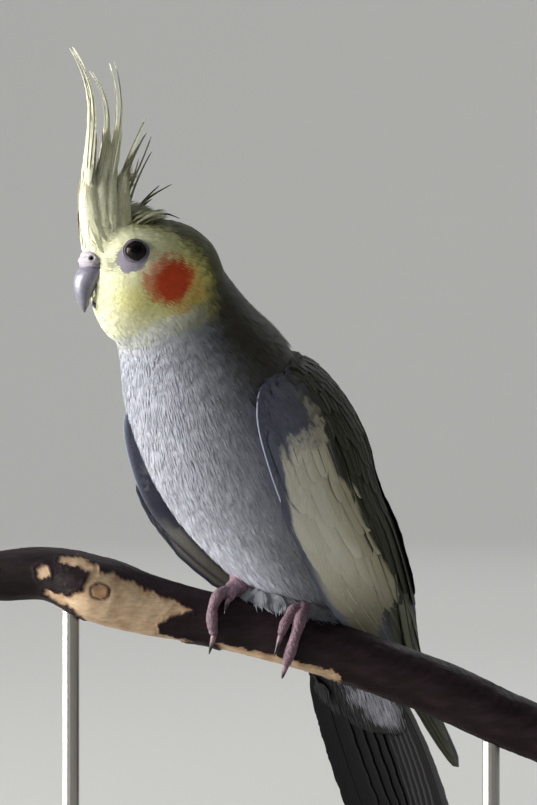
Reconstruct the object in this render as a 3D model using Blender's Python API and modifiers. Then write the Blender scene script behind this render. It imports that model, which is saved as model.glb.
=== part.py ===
"""A male cockatiel, life size, gripping a short length of branch on a two-rod display stand.

Metres, +Z up. The origin is the middle of the base's underside. The branch runs along X, and the
bird faces -Y, turned towards -X. The bird's own frame, used for its dimensions, has x forward,
y to its left and z up from the middle of the grip; the head has one more of its own.
"""

import math

import bmesh
import bpy
from mathutils import Matrix, Vector

MM = 0.001
GAP = 0.35  # clearance between neighbouring solids, mm

# Driving sizes of the stand, mm
BASE_LENGTH = 190.0
BASE_DEPTH = 130.0
BASE_THICKNESS = 12.0
BASE_CORNER = 30.0
BASE_BEVEL = 1.5
GRIP_HEIGHT = 170.0  # top of the branch between the feet, above the floor
GRIP_FORWARD = 26.0  # the grip stands this far in front of the base's middle
ROD_RADIUS = 3.0
ROD_RISE = 0.55  # how far up it meets the bark, as a share of the branch's radius below its middle
ROD_PLACES = {"stand_rod_left": -66.0, "stand_rod_right": 79.0}

# Attitude of the bird, degrees
BODY_YAW = 48.0  # the trunk's turn away from -Y, towards -X
HEAD_YAW = 70.0  # the same for the head
TAIL_PITCH = 66.0  # the tail below the horizontal

# Size of mesh sections
BODY_SIDES = 20
HEAD_SIDES = 18
WING_ARC = 7
TOE_SIDES = 7
TOE_RINGS = 8
SHANK_RINGS = 6
CLAW_SIDES = 6
CLAW_RINGS = 6
BILL_SIDES = 10
BILL_RINGS = 9
BRANCH_SIDES = 14

# Trunk and neck, from the rump up: x, z, half width, reach to the back, reach to the belly, mm
TRUNK = (
    (-46.0, -14.0, 6.0, 4.0, 5.0),
    (-38.0, -5.0, 13.0, 9.0, 10.0),
    (-27.0, 8.0, 22.5, 16.0, 21.0),
    (-13.0, 25.0, 28.5, 22.0, 27.5),
    (1.0, 44.0, 32.5, 28.0, 33.5),
    (13.0, 62.0, 32.5, 28.5, 35.0),
    (25.0, 79.0, 30.5, 27.5, 31.5),
    (34.5, 93.5, 23.5, 22.0, 26.5),
    (43.0, 105.5, 19.5, 20.0, 23.0),
)
TRUNK_RINGS = 19

# Head, from the nape to the bill's root: x, z, half width, reach up, reach down, mm
HEAD_CENTRE = (51.0, 0.0, 114.0)
HEAD = (
    (-24.0, -2.0, 7.0, 6.0, 7.0),
    (-20.0, -1.0, 12.5, 10.5, 15.0),
    (-12.0, 0.0, 16.8, 14.6, 22.0),
    (-2.0, 0.0, 18.0, 16.2, 26.0),
    (7.0, 0.0, 16.8, 15.6, 27.0),
    (13.5, 0.0, 13.6, 13.8, 24.5),
    (17.8, -0.5, 8.8, 11.0, 18.5),
    (20.2, -1.0, 3.8, 6.5, 11.5),
)
HEAD_RINGS = 15

# Eye, cere and bill in the head's frame, mm
EYE_CENTRE = (9.1, 13.0, 4.1)
EYE_RADIUS = 4.4
CERE_CENTRE = (20.6, 0.0, 1.3)
CERE_RADII = (4.5, 6.0, 4.3)
CULMEN = ((20.5, -0.2), (24.9, -1.2), (26.8, -4.8), (26.8, -8.6), (25.4, -12.2), (23.3, -15.8))
TOMIUM = ((14.0, -2.6), (17.2, -5.2), (19.2, -8.0), (20.6, -10.8), (21.2, -13.2), (22.4, -15.9))
BILL_HALF_WIDTHS = (5.4, 5.4, 4.6, 3.6, 2.2, 0.5)
LOWER_BILL = ((13.5, -11.5, 4.0), (17.0, -12.8, 3.6), (19.4, -13.9, 2.2))  # x, z and radius
LOWER_BILL_SQUASH = 0.8

# Crest locks in the head's frame: root, two handles and tip as (x, z), then depth and half width
CREST_LOCKS = (
    ((17.5, 12.0), (27.0, 34.0), (12.0, 50.0), (27.2, 71.5), 6.2, 3.2),
    ((15.5, 12.5), (22.0, 30.0), (8.0, 46.0), (20.5, 64.0), 5.0, 3.6),
    ((14.0, 12.5), (17.0, 32.0), (6.5, 46.0), (13.2, 67.0), 4.2, 3.4),
    ((11.0, 13.0), (13.0, 26.0), (4.5, 38.0), (0.2, 49.0), 4.0, 3.2),
    ((8.0, 13.5), (9.0, 22.0), (2.0, 32.0), (-1.0, 43.0), 3.4, 3.0),
    ((4.0, 13.5), (5.0, 20.5), (-2.0, 24.0), (-9.0, 27.0), 3.0, 2.8),
)
CREST_SIDES = 6
CREST_RINGS = 7

# Left wing, from the bend to the tip. The front edge and the back edge as x, y, z, and thickness
WING = (
    ((25.0, 30.0, 76.0), (-2.0, 12.5, 86.0), 2.4),
    ((31.0, 33.5, 70.0), (-14.0, 9.5, 81.0), 5.0),
    ((33.0, 36.0, 60.0), (-28.0, 7.0, 70.0), 6.0),
    ((28.5, 37.0, 45.0), (-38.0, 6.0, 56.5), 6.0),
    ((20.5, 36.5, 30.0), (-43.0, 6.0, 41.0), 5.6),
    ((7.5, 33.5, 16.0), (-52.0, 5.5, 26.0), 5.2),
    ((-8.0, 27.5, 3.5), (-60.0, 5.0, 11.0), 4.6),
    ((-27.0, 19.5, -8.0), (-66.0, 5.0, -3.0), 3.8),
    ((-43.0, 17.0, -21.5), (-68.0, 6.0, -20.0), 2.8),
    ((-58.0, 15.5, -35.0), (-73.0, 8.0, -35.0), 2.4),
    ((-80.0, 14.0, -59.0), (-83.0, 12.5, -60.0), 1.6),
)
WING_RINGS = 17

# Tail, from its root: share of the length, half width, arch and thickness, mm
TAIL_ROOT = (-35.0, -9.0)
TAIL_LENGTH = 157.0
TAIL = (
    (0.00, 9.0, 3.0, 5.0),
    (0.10, 22.0, 5.5, 4.5),
    (0.28, 29.0, 7.5, 3.2),
    (0.45, 29.5, 7.5, 2.6),
    (0.60, 25.0, 6.2, 2.2),
    (0.75, 17.0, 4.0, 1.8),
    (0.88, 9.5, 2.0, 1.4),
    (1.00, 2.0, 0.4, 1.0),
)
TAIL_RINGS = 14
TAIL_ARC = 8

# Branch: distance along X from the grip, height of the middle below the grip, depth and radius
BRANCH = (
    (-104.0, 7.2, 2.0, 8.4),
    (-90.0, 8.3, 1.0, 8.7),
    (-73.0, 8.9, 0.0, 9.3),
    (-56.0, 3.4, -1.0, 11.6),
    (-39.0, -2.0, -0.5, 10.6),
    (-21.5, -5.9, 0.0, 9.5),
    (-4.0, -9.9, 0.0, 9.7),
    (13.0, -14.4, 0.0, 9.7),
    (30.5, -19.6, 0.0, 9.7),
    (47.5, -25.6, 0.5, 9.6),
    (65.0, -32.4, 1.0, 9.8),
    (82.0, -40.4, 1.0, 9.6),
    (106.0, -50.5, 1.0, 9.4),
)
BRANCH_RINGS = 24
KNOT_PLACE = -62.0  # a cut side shoot bulges the front of the branch here
KNOT_BULGE = 2.2
KNOT_SPREAD = 13.0

# Feet: where each stands along the branch, and its toes. A toe runs from its first angle to its
# last, round the branch from the top towards the front, while it shifts along the branch and bows out
# on its way: the two angles, the shift, the bow and the thickness.
FOOT_PLACES = {"left": 11.3, "right": -11.5}
TOES = {
    "left": ((4, 136, -0.8, 0.0, 2.1), (0, 85, -5.2, -1.0, 1.9), (-4, -104, 6.0, 0.0, 1.9),
             (-4, -84, -6.5, 0.0, 1.7)),
    "right": ((0, 112, -4.0, -3.9, 2.1), (4, 42, -2.0, 0.0, 1.9), (-4, -104, -6.0, 0.0, 1.9),
              (-4, -84, 6.5, 0.0, 1.7)),
}
TOE_TAPER = 0.24
TOE_JOINTS = 2.6
JOINT_SWELLING = 0.09
PALM_RADII = (4.2, 3.6, 2.9)
PALM_HEIGHT = 3.0
CLAW_SWEEP = 30.0  # degrees further round the branch
CLAW_START = 3.0  # degrees beyond the toe's end
CLAW_LIFT = 2.2  # how far its tip stands off the bark
CLAW_THICKNESS = 0.62  # of the toe's
SHANK_RADIUS = 2.7
SHANK_HEIGHT = 4.0
SHANK_REACH = (0.0, 9.0, 12.0)  # from the ball of the foot to the belly, in world directions
SHANK_SWELLING = 0.28

# Planes that part the body: a point and the direction square to the plane, in the bird's frame
HEAD_CUT = ((40.0, 0.0, 99.5), (0.25, 0.08, 0.97))
NECK_CUT = ((27.0, 0.0, 84.0), (0.62, 0.0, 0.78))

COLOURS = {
    "grey_plumage": ((0.30, 0.31, 0.35), 0.85),
    "yellow_plumage": ((0.78, 0.76, 0.45), 0.85),
    "wing_plumage": ((0.10, 0.10, 0.11), 0.80),
    "tail_plumage": ((0.05, 0.05, 0.055), 0.75),
    "bill_horn": ((0.24, 0.23, 0.27), 0.40),
    "cere_skin": ((0.55, 0.50, 0.53), 0.60),
    "eye": ((0.02, 0.015, 0.015), 0.08),
    "foot_skin": ((0.48, 0.37, 0.40), 0.60),
    "claw_horn": ((0.10, 0.09, 0.09), 0.40),
    "bark": ((0.09, 0.05, 0.055), 0.45),
    "stand": ((0.06, 0.06, 0.06), 0.50),
    "rod": ((0.45, 0.43, 0.40), 0.35),
}


def clear_scene():
    for item in list(bpy.data.objects):
        bpy.data.objects.remove(item, do_unlink=True)


def make_collection(name, shown=True):
    group = bpy.data.collections.new(name)
    bpy.context.scene.collection.children.link(group)
    group.hide_render = not shown
    return group


def make_materials():
    made = {}
    for name, (colour, roughness) in COLOURS.items():
        material = bpy.data.materials.new(name)
        material.use_nodes = True
        shader = material.node_tree.nodes["Principled BSDF"]
        shader.inputs["Base Color"].default_value = (*colour, 1.0)
        shader.inputs["Roughness"].default_value = roughness
        shader.inputs["Metallic"].default_value = 1.0 if name == "rod" else 0.0
        made[name] = material
    return made


def spline(stations, count):
    """Reads a table of stations as a smooth curve, and returns count evenly spread rows of it."""
    rows = []
    spans = len(stations) - 1
    for i in range(count):
        place = i * spans / (count - 1)
        k = min(int(place), spans - 1)
        t = place - k
        before = stations[max(k - 1, 0)]
        after = stations[min(k + 2, spans)]
        row = []
        for a, b, c, d in zip(before, stations[k], stations[k + 1], after):
            slope_b = (c - a) / 2
            slope_c = (d - b) / 2
            step = c - b
            row.append(
                b + slope_b * t + (3 * step - 2 * slope_b - slope_c) * t**2
                + (slope_b + slope_c - 2 * step) * t**3
            )
        rows.append(row)
    return rows


def bezier(a, b, c, d, t):
    u = 1 - t
    return a * u**3 + b * (3 * u * u * t) + c * (3 * u * t * t) + d * t**3


def loft(name, rings, material, group, parent=None, smooth=True):
    """A closed solid through rings of points given in mm, with a fan over each end."""
    mesh = bmesh.new()
    rows = [[mesh.verts.new(Vector(point) * MM) for point in ring] for ring in rings]
    for first, second in zip(rows, rows[1:]):
        sides = len(first)
        for i in range(sides):
            j = (i + 1) % sides
            mesh.faces.new((first[i], first[j], second[j], second[i]))
    for ring in (rows[0], rows[-1]):
        middle = mesh.verts.new(sum((v.co for v in ring), Vector()) / len(ring))
        for i, point in enumerate(ring):
            mesh.faces.new((point, ring[(i + 1) % len(ring)], middle))
    bmesh.ops.recalc_face_normals(mesh, faces=mesh.faces)
    data = bpy.data.meshes.new(name)
    mesh.to_mesh(data)
    mesh.free()
    return place_mesh(name, data, material, group, parent, smooth)


def place_mesh(name, data, material, group, parent=None, smooth=True):
    made = bpy.data.objects.new(name, data)
    data.materials.append(material)
    if smooth:
        data.shade_smooth()
    group.objects.link(made)
    made.parent = parent
    return made


def ball(name, centre, radii, segments, rings, material, group, parent):
    """An ellipsoid, in mm, in its parent's frame."""
    mesh = bmesh.new()
    bmesh.ops.create_uvsphere(mesh, u_segments=segments, v_segments=rings, radius=1.0)
    bmesh.ops.scale(mesh, vec=Vector(radii) * MM, verts=mesh.verts)
    bmesh.ops.translate(mesh, vec=Vector(centre) * MM, verts=mesh.verts)
    data = bpy.data.meshes.new(name)
    mesh.to_mesh(data)
    mesh.free()
    return place_mesh(name, data, material, group, parent)


def tube_rings(points, radii, sides, flatten=1.0, side_hint=Vector((0, 1, 0))):
    """Round or oval rings square to a path. The oval's short axis lies along side_hint."""
    rings = []
    for i, point in enumerate(points):
        ahead = points[min(i + 1, len(points) - 1)] - points[max(i - 1, 0)]
        ahead.normalize()
        across = (side_hint - ahead * side_hint.dot(ahead)).normalized()
        up = across.cross(ahead)
        ring = []
        for k in range(sides):
            angle = 2 * math.pi * k / sides
            reach = across * math.cos(angle) * flatten + up * math.sin(angle)
            ring.append(point + reach * radii[i])
        rings.append(ring)
    return rings


def body_ring(centre, ahead, half_width, back, belly, sides):
    """An egg-shaped section square to ahead, which lies in the plane y = 0."""
    dorsal = Vector((-ahead.z, 0, ahead.x))
    ring = []
    for k in range(sides):
        angle = 2 * math.pi * k / sides
        rise = math.cos(angle)
        reach = back if rise > 0 else belly
        ring.append(centre + Vector((0, half_width * math.sin(angle), 0)) + dorsal * (reach * rise))
    return ring


def swept_rings(rows, sides):
    rings = []
    for i, (x, z, half_width, back, belly) in enumerate(rows):
        before = rows[max(i - 1, 0)]
        after = rows[min(i + 1, len(rows) - 1)]
        ahead = Vector((after[0] - before[0], 0, after[1] - before[1])).normalized()
        rings.append(body_ring(Vector((x, 0, z)), ahead, half_width, back, belly, sides))
    return rings


def head_rings():
    """Sections of the head square to its own x axis, from the nape forward."""
    rings = []
    for x, z, half_width, up, down in spline(HEAD, HEAD_RINGS):
        rings.append(body_ring(Vector((x, 0, z)), Vector((1, 0, 0)), half_width, up, down, HEAD_SIDES))
    return rings


def wing_rings(side):
    """Sections of a folded wing: each is an arc that hugs the flank, from front edge to back edge."""
    rows = [(*front, *back, thickness) for front, back, thickness in WING]
    rings = []
    for xf, yf, zf, xb, yb, zb, thickness in spline(rows, WING_RINGS):
        outer, inner = [], []
        for k in range(WING_ARC + 1):
            turn = math.pi / 2 * k / WING_ARC
            along = math.sin(turn)
            fullness = thickness * (0.25 + 0.75 * math.sin(math.pi * k / WING_ARC) ** 0.6)
            x = xf + (xb - xf) * along
            z = zf + (zb - zf) * along
            y = yb + (yf - yb) * math.cos(turn)
            inward = Vector((math.cos(turn * 0.5) * 0.25 * (1 if k else 0), -math.cos(turn * 0.8), 0))
            inward += Vector((math.sin(turn * 0.8) * 0.8, 0, -math.sin(turn * 0.8) * 0.5))
            inward.normalize()
            outer.append(Vector((x, side * y, z)))
            inner.append(Vector((x + inward.x * fullness, side * (y + inward.y * fullness),
                                 z + inward.z * fullness)))
        rings.append(outer + inner[::-1])
    return rings


def tail_rings():
    """Sections of the closed tail: an arch, high in the middle, that thins towards the tip."""
    pitch = math.radians(TAIL_PITCH)
    down = Vector((-math.cos(pitch), 0, -math.sin(pitch)))
    dorsal = Vector((-math.sin(pitch), 0, math.cos(pitch)))
    root = Vector((TAIL_ROOT[0], 0, TAIL_ROOT[1]))
    rings = []
    for share, half_width, arch, thickness in spline(TAIL, TAIL_RINGS):
        middle = root + down * (share * TAIL_LENGTH)
        upper, lower = [], []
        for k in range(TAIL_ARC + 1):
            across = 2 * k / TAIL_ARC - 1
            rise = arch * (1 - across * across)
            edge = thickness * (0.35 + 0.65 * (1 - across**4))
            spot = middle + Vector((0, half_width * across, 0)) + dorsal * rise
            upper.append(spot)
            lower.append(spot - dorsal * edge)
        rings.append(upper + lower[::-1])
    return rings


def bill_rings():
    """Sections of the upper mandible between the culmen and the cutting edge."""
    rows = [(*top, *edge, half) for top, edge, half in zip(CULMEN, TOMIUM, BILL_HALF_WIDTHS)]
    rings = []
    for xt, zt, xe, ze, half in spline(rows, BILL_RINGS):
        top, edge = Vector((xt, 0, zt)), Vector((xe, 0, ze))
        middle, reach = (top + edge) / 2, (top - edge) / 2
        ring = []
        for k in range(BILL_SIDES):
            angle = 2 * math.pi * k / BILL_SIDES
            ring.append(middle + reach * math.cos(angle) + Vector((0, half * math.sin(angle), 0)))
        rings.append(ring)
    return rings


def branch_rings():
    rings = []
    rows = spline(BRANCH, BRANCH_RINGS)
    for i, (x, z, y, radius) in enumerate(rows):
        before = rows[max(i - 1, 0)]
        after = rows[min(i + 1, len(rows) - 1)]
        ahead = Vector((after[0] - before[0], after[2] - before[2], after[1] - before[1])).normalized()
        across = Vector((0, 1, 0)) - ahead * ahead.y
        across.normalize()
        up = ahead.cross(across)
        ring = []
        for k in range(BRANCH_SIDES):
            angle = 2 * math.pi * k / BRANCH_SIDES
            bulge = KNOT_BULGE * math.exp(-(((x - KNOT_PLACE) / KNOT_SPREAD) ** 2))
            reach = radius + bulge * max(0.0, -math.cos(angle)) ** 2
            ring.append(Vector((x, y, z)) + (across * math.cos(angle) + up * math.sin(angle)) * reach)
        rings.append(ring)
    return rings


def branch_at(x):
    """Middle of the branch, its direction and its radius at a place along X."""
    table = spline(BRANCH, 400)
    nearest = min(range(1, len(table) - 1), key=lambda i: abs(table[i][0] - x))
    before, row, after = table[nearest - 1], table[nearest], table[nearest + 1]
    ahead = Vector((after[0] - before[0], after[2] - before[2], after[1] - before[1])).normalized()
    return Vector((row[0], row[2], row[1])), ahead, row[3]


def round_branch(x, angle, off):
    """A point off mm from the bark, at an angle in degrees from the top towards the front."""
    middle, ahead, radius = branch_at(x)
    top = (Vector((0, 0, 1)) - ahead * ahead.z).normalized()
    front = top.cross(ahead)
    if front.y > 0:
        front = -front
    turn = math.radians(angle)
    return middle + (top * math.cos(turn) + front * math.sin(turn)) * (radius + off)


def toe_path(place, toe):
    """Middle line and radii of a toe, with a swelling at each joint."""
    first, last, shift, bow, thick = toe
    points, radii = [], []
    for i in range(TOE_RINGS):
        t = i / (TOE_RINGS - 1)
        joints = JOINT_SWELLING * math.cos(2 * math.pi * TOE_JOINTS * t)
        radius = thick * (1.06 - TOE_TAPER * t + joints)
        x = place + shift * t**0.8 + bow * math.sin(math.pi * t)
        points.append(round_branch(x, first + (last - first) * t, radius + GAP))
        radii.append(radius)
    return points, radii


def claw_path(place, toe):
    """Middle line and radii of the curved claw beyond a toe's end."""
    _, last, shift, _, thick = toe
    sense = 1 if last > 0 else -1
    points, radii = [], []
    for i in range(CLAW_RINGS):
        t = i / (CLAW_RINGS - 1)
        radius = thick * CLAW_THICKNESS * (1 - 0.86 * t**1.4)
        lift = CLAW_LIFT * math.sin(math.pi * 0.5 * t) ** 2
        angle = last + sense * (CLAW_START + CLAW_SWEEP * t)
        points.append(round_branch(place + shift * (1.0 + 0.06 * t), angle, thick * 0.82 + GAP + lift))
        radii.append(radius)
    return points, radii


def apply_modifiers(obj):
    """Turns what the modifiers make into the object's own mesh."""
    graph = bpy.context.evaluated_depsgraph_get()
    data = bpy.data.meshes.new_from_object(obj.evaluated_get(graph))
    obj.modifiers.clear()
    obj.data = data


def boolean(obj, other, operation):
    modifier = obj.modifiers.new(operation.lower() + "_" + other.name, "BOOLEAN")
    modifier.operation = operation
    modifier.solver = "EXACT"
    modifier.object = other


def swollen_copy(obj, cutters):
    """A helper the shape of obj, larger by the gap, which clears room for it in a neighbour."""
    graph = bpy.context.evaluated_depsgraph_get()
    data = bpy.data.meshes.new_from_object(obj.evaluated_get(graph))
    data.transform(obj.matrix_world)
    copy = bpy.data.objects.new("room_for_" + obj.name, data)
    cutters.objects.link(copy)
    hide_helper(copy)
    swell = copy.modifiers.new("swell", "DISPLACE")
    swell.direction = "NORMAL"
    swell.mid_level = 0.0
    swell.strength = GAP * MM
    return copy


def hide_helper(obj):
    obj.hide_render = True
    obj.display_type = "WIRE"


def cut_room(obj, neighbours, cutters):
    for neighbour in neighbours:
        boolean(obj, swollen_copy(neighbour, cutters), "DIFFERENCE")


def slab(name, centre, along, thickness, size, cutters):
    """A wide thin box square to a direction, in mm, in world coordinates."""
    mesh = bmesh.new()
    bmesh.ops.create_cube(mesh, size=1.0)
    bmesh.ops.scale(mesh, vec=Vector((size, size, thickness)) * MM, verts=mesh.verts)
    turn = Vector((0, 0, 1)).rotation_difference(along).to_matrix().to_4x4()
    mesh.transform(Matrix.Translation(centre) @ turn)
    data = bpy.data.meshes.new(name)
    mesh.to_mesh(data)
    mesh.free()
    made = bpy.data.objects.new(name, data)
    cutters.objects.link(made)
    hide_helper(made)
    return made


def keep_side(obj, centre, along, cutters, name):
    """Cuts away all of obj that lies beyond a plane, in the direction along."""
    depth = 400.0
    block = slab(name, centre + along * (depth / 2 * MM), along, depth, depth, cutters)
    boolean(obj, block, "DIFFERENCE")


def copy_of(obj, name, group):
    made = obj.copy()
    made.data = obj.data.copy()
    made.name = name
    group.objects.link(made)
    return made


def make_base(materials, group):
    """The flat base: a rounded rectangle with a small bevel round its edges."""
    mesh = bmesh.new()
    bmesh.ops.create_cube(mesh, size=1.0)
    bmesh.ops.scale(mesh, vec=Vector((BASE_LENGTH, BASE_DEPTH, BASE_THICKNESS)) * MM, verts=mesh.verts)
    bmesh.ops.translate(mesh, vec=(0, 0, BASE_THICKNESS / 2 * MM), verts=mesh.verts)
    upright = [e for e in mesh.edges if abs(e.verts[0].co.z - e.verts[1].co.z) > MM]
    bmesh.ops.bevel(mesh, geom=upright, offset=BASE_CORNER * MM, segments=6, profile=0.5, affect="EDGES")
    data = bpy.data.meshes.new("stand_base")
    mesh.to_mesh(data)
    mesh.free()
    base = place_mesh("stand_base", data, materials["stand"], group, smooth=False)
    bevel = base.modifiers.new("edge", "BEVEL")
    bevel.width = BASE_BEVEL * MM
    bevel.segments = 2
    bevel.limit_method = "ANGLE"
    return base


def make_rod(name, place, materials, group):
    """A rod from the base up to the underside of the branch."""
    middle, _, radius = branch_at(place)
    foot = BASE_THICKNESS + GAP
    top = GRIP_HEIGHT + middle.z - radius * ROD_RISE
    mesh = bmesh.new()
    bmesh.ops.create_cone(
        mesh, cap_ends=True, segments=16, radius1=ROD_RADIUS * MM, radius2=ROD_RADIUS * MM,
        depth=(top - foot) * MM,
    )
    data = bpy.data.meshes.new(name)
    mesh.to_mesh(data)
    mesh.free()
    rod = place_mesh(name, data, materials["rod"], group, smooth=False)
    rod.location = Vector((place, middle.y - GRIP_FORWARD, (top + foot) / 2)) * MM
    return rod


def make_body(materials, group, cutters, bird, head_frame):
    """Trunk, neck and head in one piece, from two lofts."""
    barrel = loft("barrel", swept_rings(spline(TRUNK, TRUNK_RINGS), BODY_SIDES),
                  materials["grey_plumage"], cutters, bird)
    skull = loft("skull", head_rings(), materials["yellow_plumage"], cutters, head_frame)
    bpy.context.view_layer.update()
    return joined("trunk", [barrel, skull], materials["grey_plumage"], group)


def part_body(whole, bird, materials, group, cutters):
    """Parts the joined body into head, neck and trunk."""
    turn = bird.matrix_world
    (head_cut, head_rise), (neck_cut, rising) = (
        (turn @ (Vector(place) * MM), (turn.to_3x3() @ Vector(direction)).normalized())
        for place, direction in (HEAD_CUT, NECK_CUT)
    )
    head = copy_of(whole, "head", group)
    neck = copy_of(whole, "neck", group)
    head.data.materials.clear()
    head.data.materials.append(materials["yellow_plumage"])
    half = GAP / 2 * MM
    keep_side(head, head_cut + head_rise * half, -head_rise, cutters, "below_head")
    keep_side(neck, head_cut - head_rise * half, head_rise, cutters, "above_neck")
    keep_side(neck, neck_cut + rising * half, -rising, cutters, "below_neck")
    keep_side(whole, neck_cut - rising * half, rising, cutters, "above_trunk")
    return head, neck, whole


def joined(name, pieces, material, group):
    """One solid from pieces that overlap. The pieces themselves stay as helpers."""
    whole = copy_of(pieces[0], name, group)
    whole.data.materials.clear()
    whole.data.materials.append(material)
    for piece in pieces:
        hide_helper(piece)
    whole.hide_render = False
    whole.display_type = "TEXTURED"
    for piece in pieces[1:]:
        boolean(whole, piece, "UNION")
    bpy.context.view_layer.update()
    apply_modifiers(whole)
    return whole


def make_crest(materials, group, cutters, head_frame):
    """The raised crest: flat tapering locks that share one root."""
    locks = []
    for n, (root, low, high, tip, depth, half) in enumerate(CREST_LOCKS):
        ends = [Vector((x, 0, z)) for x, z in (root, low, high, tip)]
        points, radii = [], []
        for i in range(CREST_RINGS):
            t = i / (CREST_RINGS - 1)
            points.append(bezier(*ends, t))
            radii.append(depth * (0.12 + 0.88 * (1 - t) ** 0.9))
        lock = loft(f"crest_lock_{n}", tube_rings(points, radii, CREST_SIDES, half / depth),
                    materials["yellow_plumage"], cutters, head_frame)
        locks.append(lock)
    joined("crest", locks, materials["yellow_plumage"], group)
    return locks


def make_foot(side, materials, group, cutters, grip):
    """A foot: four toes joined to a ball, two forward and two back, and four claws."""
    place = FOOT_PLACES[side]
    middle = round_branch(place, 0, PALM_HEIGHT + GAP)
    pieces = [ball(f"palm_{side}", middle, PALM_RADII, 10, 6, materials["foot_skin"], cutters, grip)]
    for n, toe in enumerate(TOES[side], start=1):
        points, radii = toe_path(place, toe)
        rings = tube_rings(points, radii, TOE_SIDES, side_hint=Vector((1, 0, 0)))
        pieces.append(loft(f"toe_{side}_{n}", rings, materials["foot_skin"], cutters, grip))
        points, radii = claw_path(place, toe)
        rings = tube_rings(points, radii, CLAW_SIDES, side_hint=Vector((1, 0, 0)))
        claw = loft(f"claw_{side}_{n}", rings, materials["claw_horn"], group, grip)
        cut_room(claw, [pieces[-1]], cutters)
    joined(f"foot_{side}", pieces, materials["foot_skin"], group)
    return pieces


def make_leg(side, materials, group, grip):
    """The shank, from the ball of the foot up into the belly feathers."""
    place = FOOT_PLACES[side]
    low = round_branch(place, 0, SHANK_HEIGHT)
    high = low + Vector(SHANK_REACH)
    shares = [i / (SHANK_RINGS - 1) for i in range(SHANK_RINGS)]
    points = [low.lerp(high, t) for t in shares]
    radii = [SHANK_RADIUS * (1 + SHANK_SWELLING * t**2) for t in shares]
    rings = tube_rings(points, radii, 12, side_hint=Vector((1, 0, 0)))
    return loft(f"leg_{side}", rings, materials["foot_skin"], group, grip)


def main():
    clear_scene()
    group = make_collection("cockatiel_on_stand")
    cutters = make_collection("cutters")
    materials = make_materials()

    grip = bpy.data.objects.new("grip", None)
    bird = bpy.data.objects.new("bird", None)
    head_frame = bpy.data.objects.new("head_frame", None)
    for empty in (grip, bird, head_frame):
        group.objects.link(empty)
    grip.location = Vector((0, -GRIP_FORWARD, GRIP_HEIGHT)) * MM
    bird.parent = grip
    bird.rotation_euler.z = math.radians(-90 - BODY_YAW)
    head_frame.parent = bird
    head_frame.location = Vector(HEAD_CENTRE) * MM
    head_frame.rotation_euler.z = math.radians(BODY_YAW - HEAD_YAW)
    bpy.context.view_layer.update()

    make_base(materials, group)
    branch = loft("perch", branch_rings(), materials["bark"], group, grip)
    rods = [make_rod(name, place, materials, group) for name, place in ROD_PLACES.items()]

    eyes = []
    for name, sense in (("eye_left", 1), ("eye_right", -1)):
        x, y, z = EYE_CENTRE
        eyes.append(ball(name, (x, sense * y, z), (EYE_RADIUS,) * 3, 14, 8,
                         materials["eye"], group, head_frame))
    cere = ball("cere", CERE_CENTRE, CERE_RADII, 12, 7, materials["cere_skin"], group, head_frame)
    upper = loft("bill_upper", bill_rings(), materials["bill_horn"], group, head_frame)
    lower_points = [Vector((x, 0, z)) for x, z, _ in LOWER_BILL]
    lower_radii = [radius for _, _, radius in LOWER_BILL]
    lower_rings = tube_rings(lower_points, lower_radii, BILL_SIDES, LOWER_BILL_SQUASH, Vector((0, 0, 1)))
    lower = loft("bill_lower", lower_rings, materials["bill_horn"], group, head_frame)
    crest_locks = make_crest(materials, group, cutters, head_frame)

    wings = {}
    for name, sense in (("wing_left", 1), ("wing_right", -1)):
        wings[name] = loft(name, wing_rings(sense), materials["wing_plumage"], group, bird)
    tail = loft("tail", tail_rings(), materials["tail_plumage"], group, bird)

    legs, feet = {}, {}
    for side in FOOT_PLACES:
        feet[side] = make_foot(side, materials, group, cutters, grip)
        legs[side] = make_leg(side, materials, group, grip)
    foot_pieces = feet["left"] + feet["right"]
    bpy.context.view_layer.update()

    whole = make_body(materials, group, cutters, bird, head_frame)
    head, neck, trunk = part_body(whole, bird, materials, group, cutters)
    bpy.context.view_layer.update()

    cut_room(head, [*eyes, cere, upper, lower, *crest_locks], cutters)
    cut_room(cere, [upper], cutters)
    cut_room(lower, [upper], cutters)
    for piece in (neck, trunk):
        cut_room(piece, wings.values(), cutters)
    cut_room(trunk, [tail, branch, *legs.values(), *foot_pieces], cutters)
    for wing in wings.values():
        cut_room(wing, [tail], cutters)
    for side, pieces in feet.items():
        cut_room(legs[side], pieces, cutters)
    for rod in rods:
        cut_room(rod, [branch], cutters)


main()
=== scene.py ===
"""A cockatiel on a branch: its looks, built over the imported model. Lengths are mm until a mesh is made."""

import math

import bpy
import numpy as np
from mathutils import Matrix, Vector
from mathutils.bvhtree import BVHTree
from mathutils.kdtree import KDTree


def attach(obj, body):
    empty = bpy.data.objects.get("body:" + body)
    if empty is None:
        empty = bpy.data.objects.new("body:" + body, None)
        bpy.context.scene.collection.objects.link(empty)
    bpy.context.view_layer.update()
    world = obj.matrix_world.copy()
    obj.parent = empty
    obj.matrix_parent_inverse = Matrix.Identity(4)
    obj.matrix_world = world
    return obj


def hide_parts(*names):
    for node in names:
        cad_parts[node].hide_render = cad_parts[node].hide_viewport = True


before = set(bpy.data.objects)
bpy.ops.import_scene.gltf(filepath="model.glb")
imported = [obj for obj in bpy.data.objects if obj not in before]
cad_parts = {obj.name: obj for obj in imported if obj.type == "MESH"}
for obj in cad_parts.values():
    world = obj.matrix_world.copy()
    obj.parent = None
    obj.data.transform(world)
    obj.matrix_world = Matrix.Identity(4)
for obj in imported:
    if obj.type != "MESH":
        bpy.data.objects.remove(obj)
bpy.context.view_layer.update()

MM = 0.001
RANDOM = np.random.default_rng(7)

# Sizes that the solids were built from, repeated here in the same frames
GRIP = np.array((0.0, -26.0, 170.0))
BODY_YAW = 48.0
HEAD_YAW = 70.0
TAIL_PITCH = 66.0
HEAD_CENTRE = np.array((51.0, 0.0, 114.0))
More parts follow.
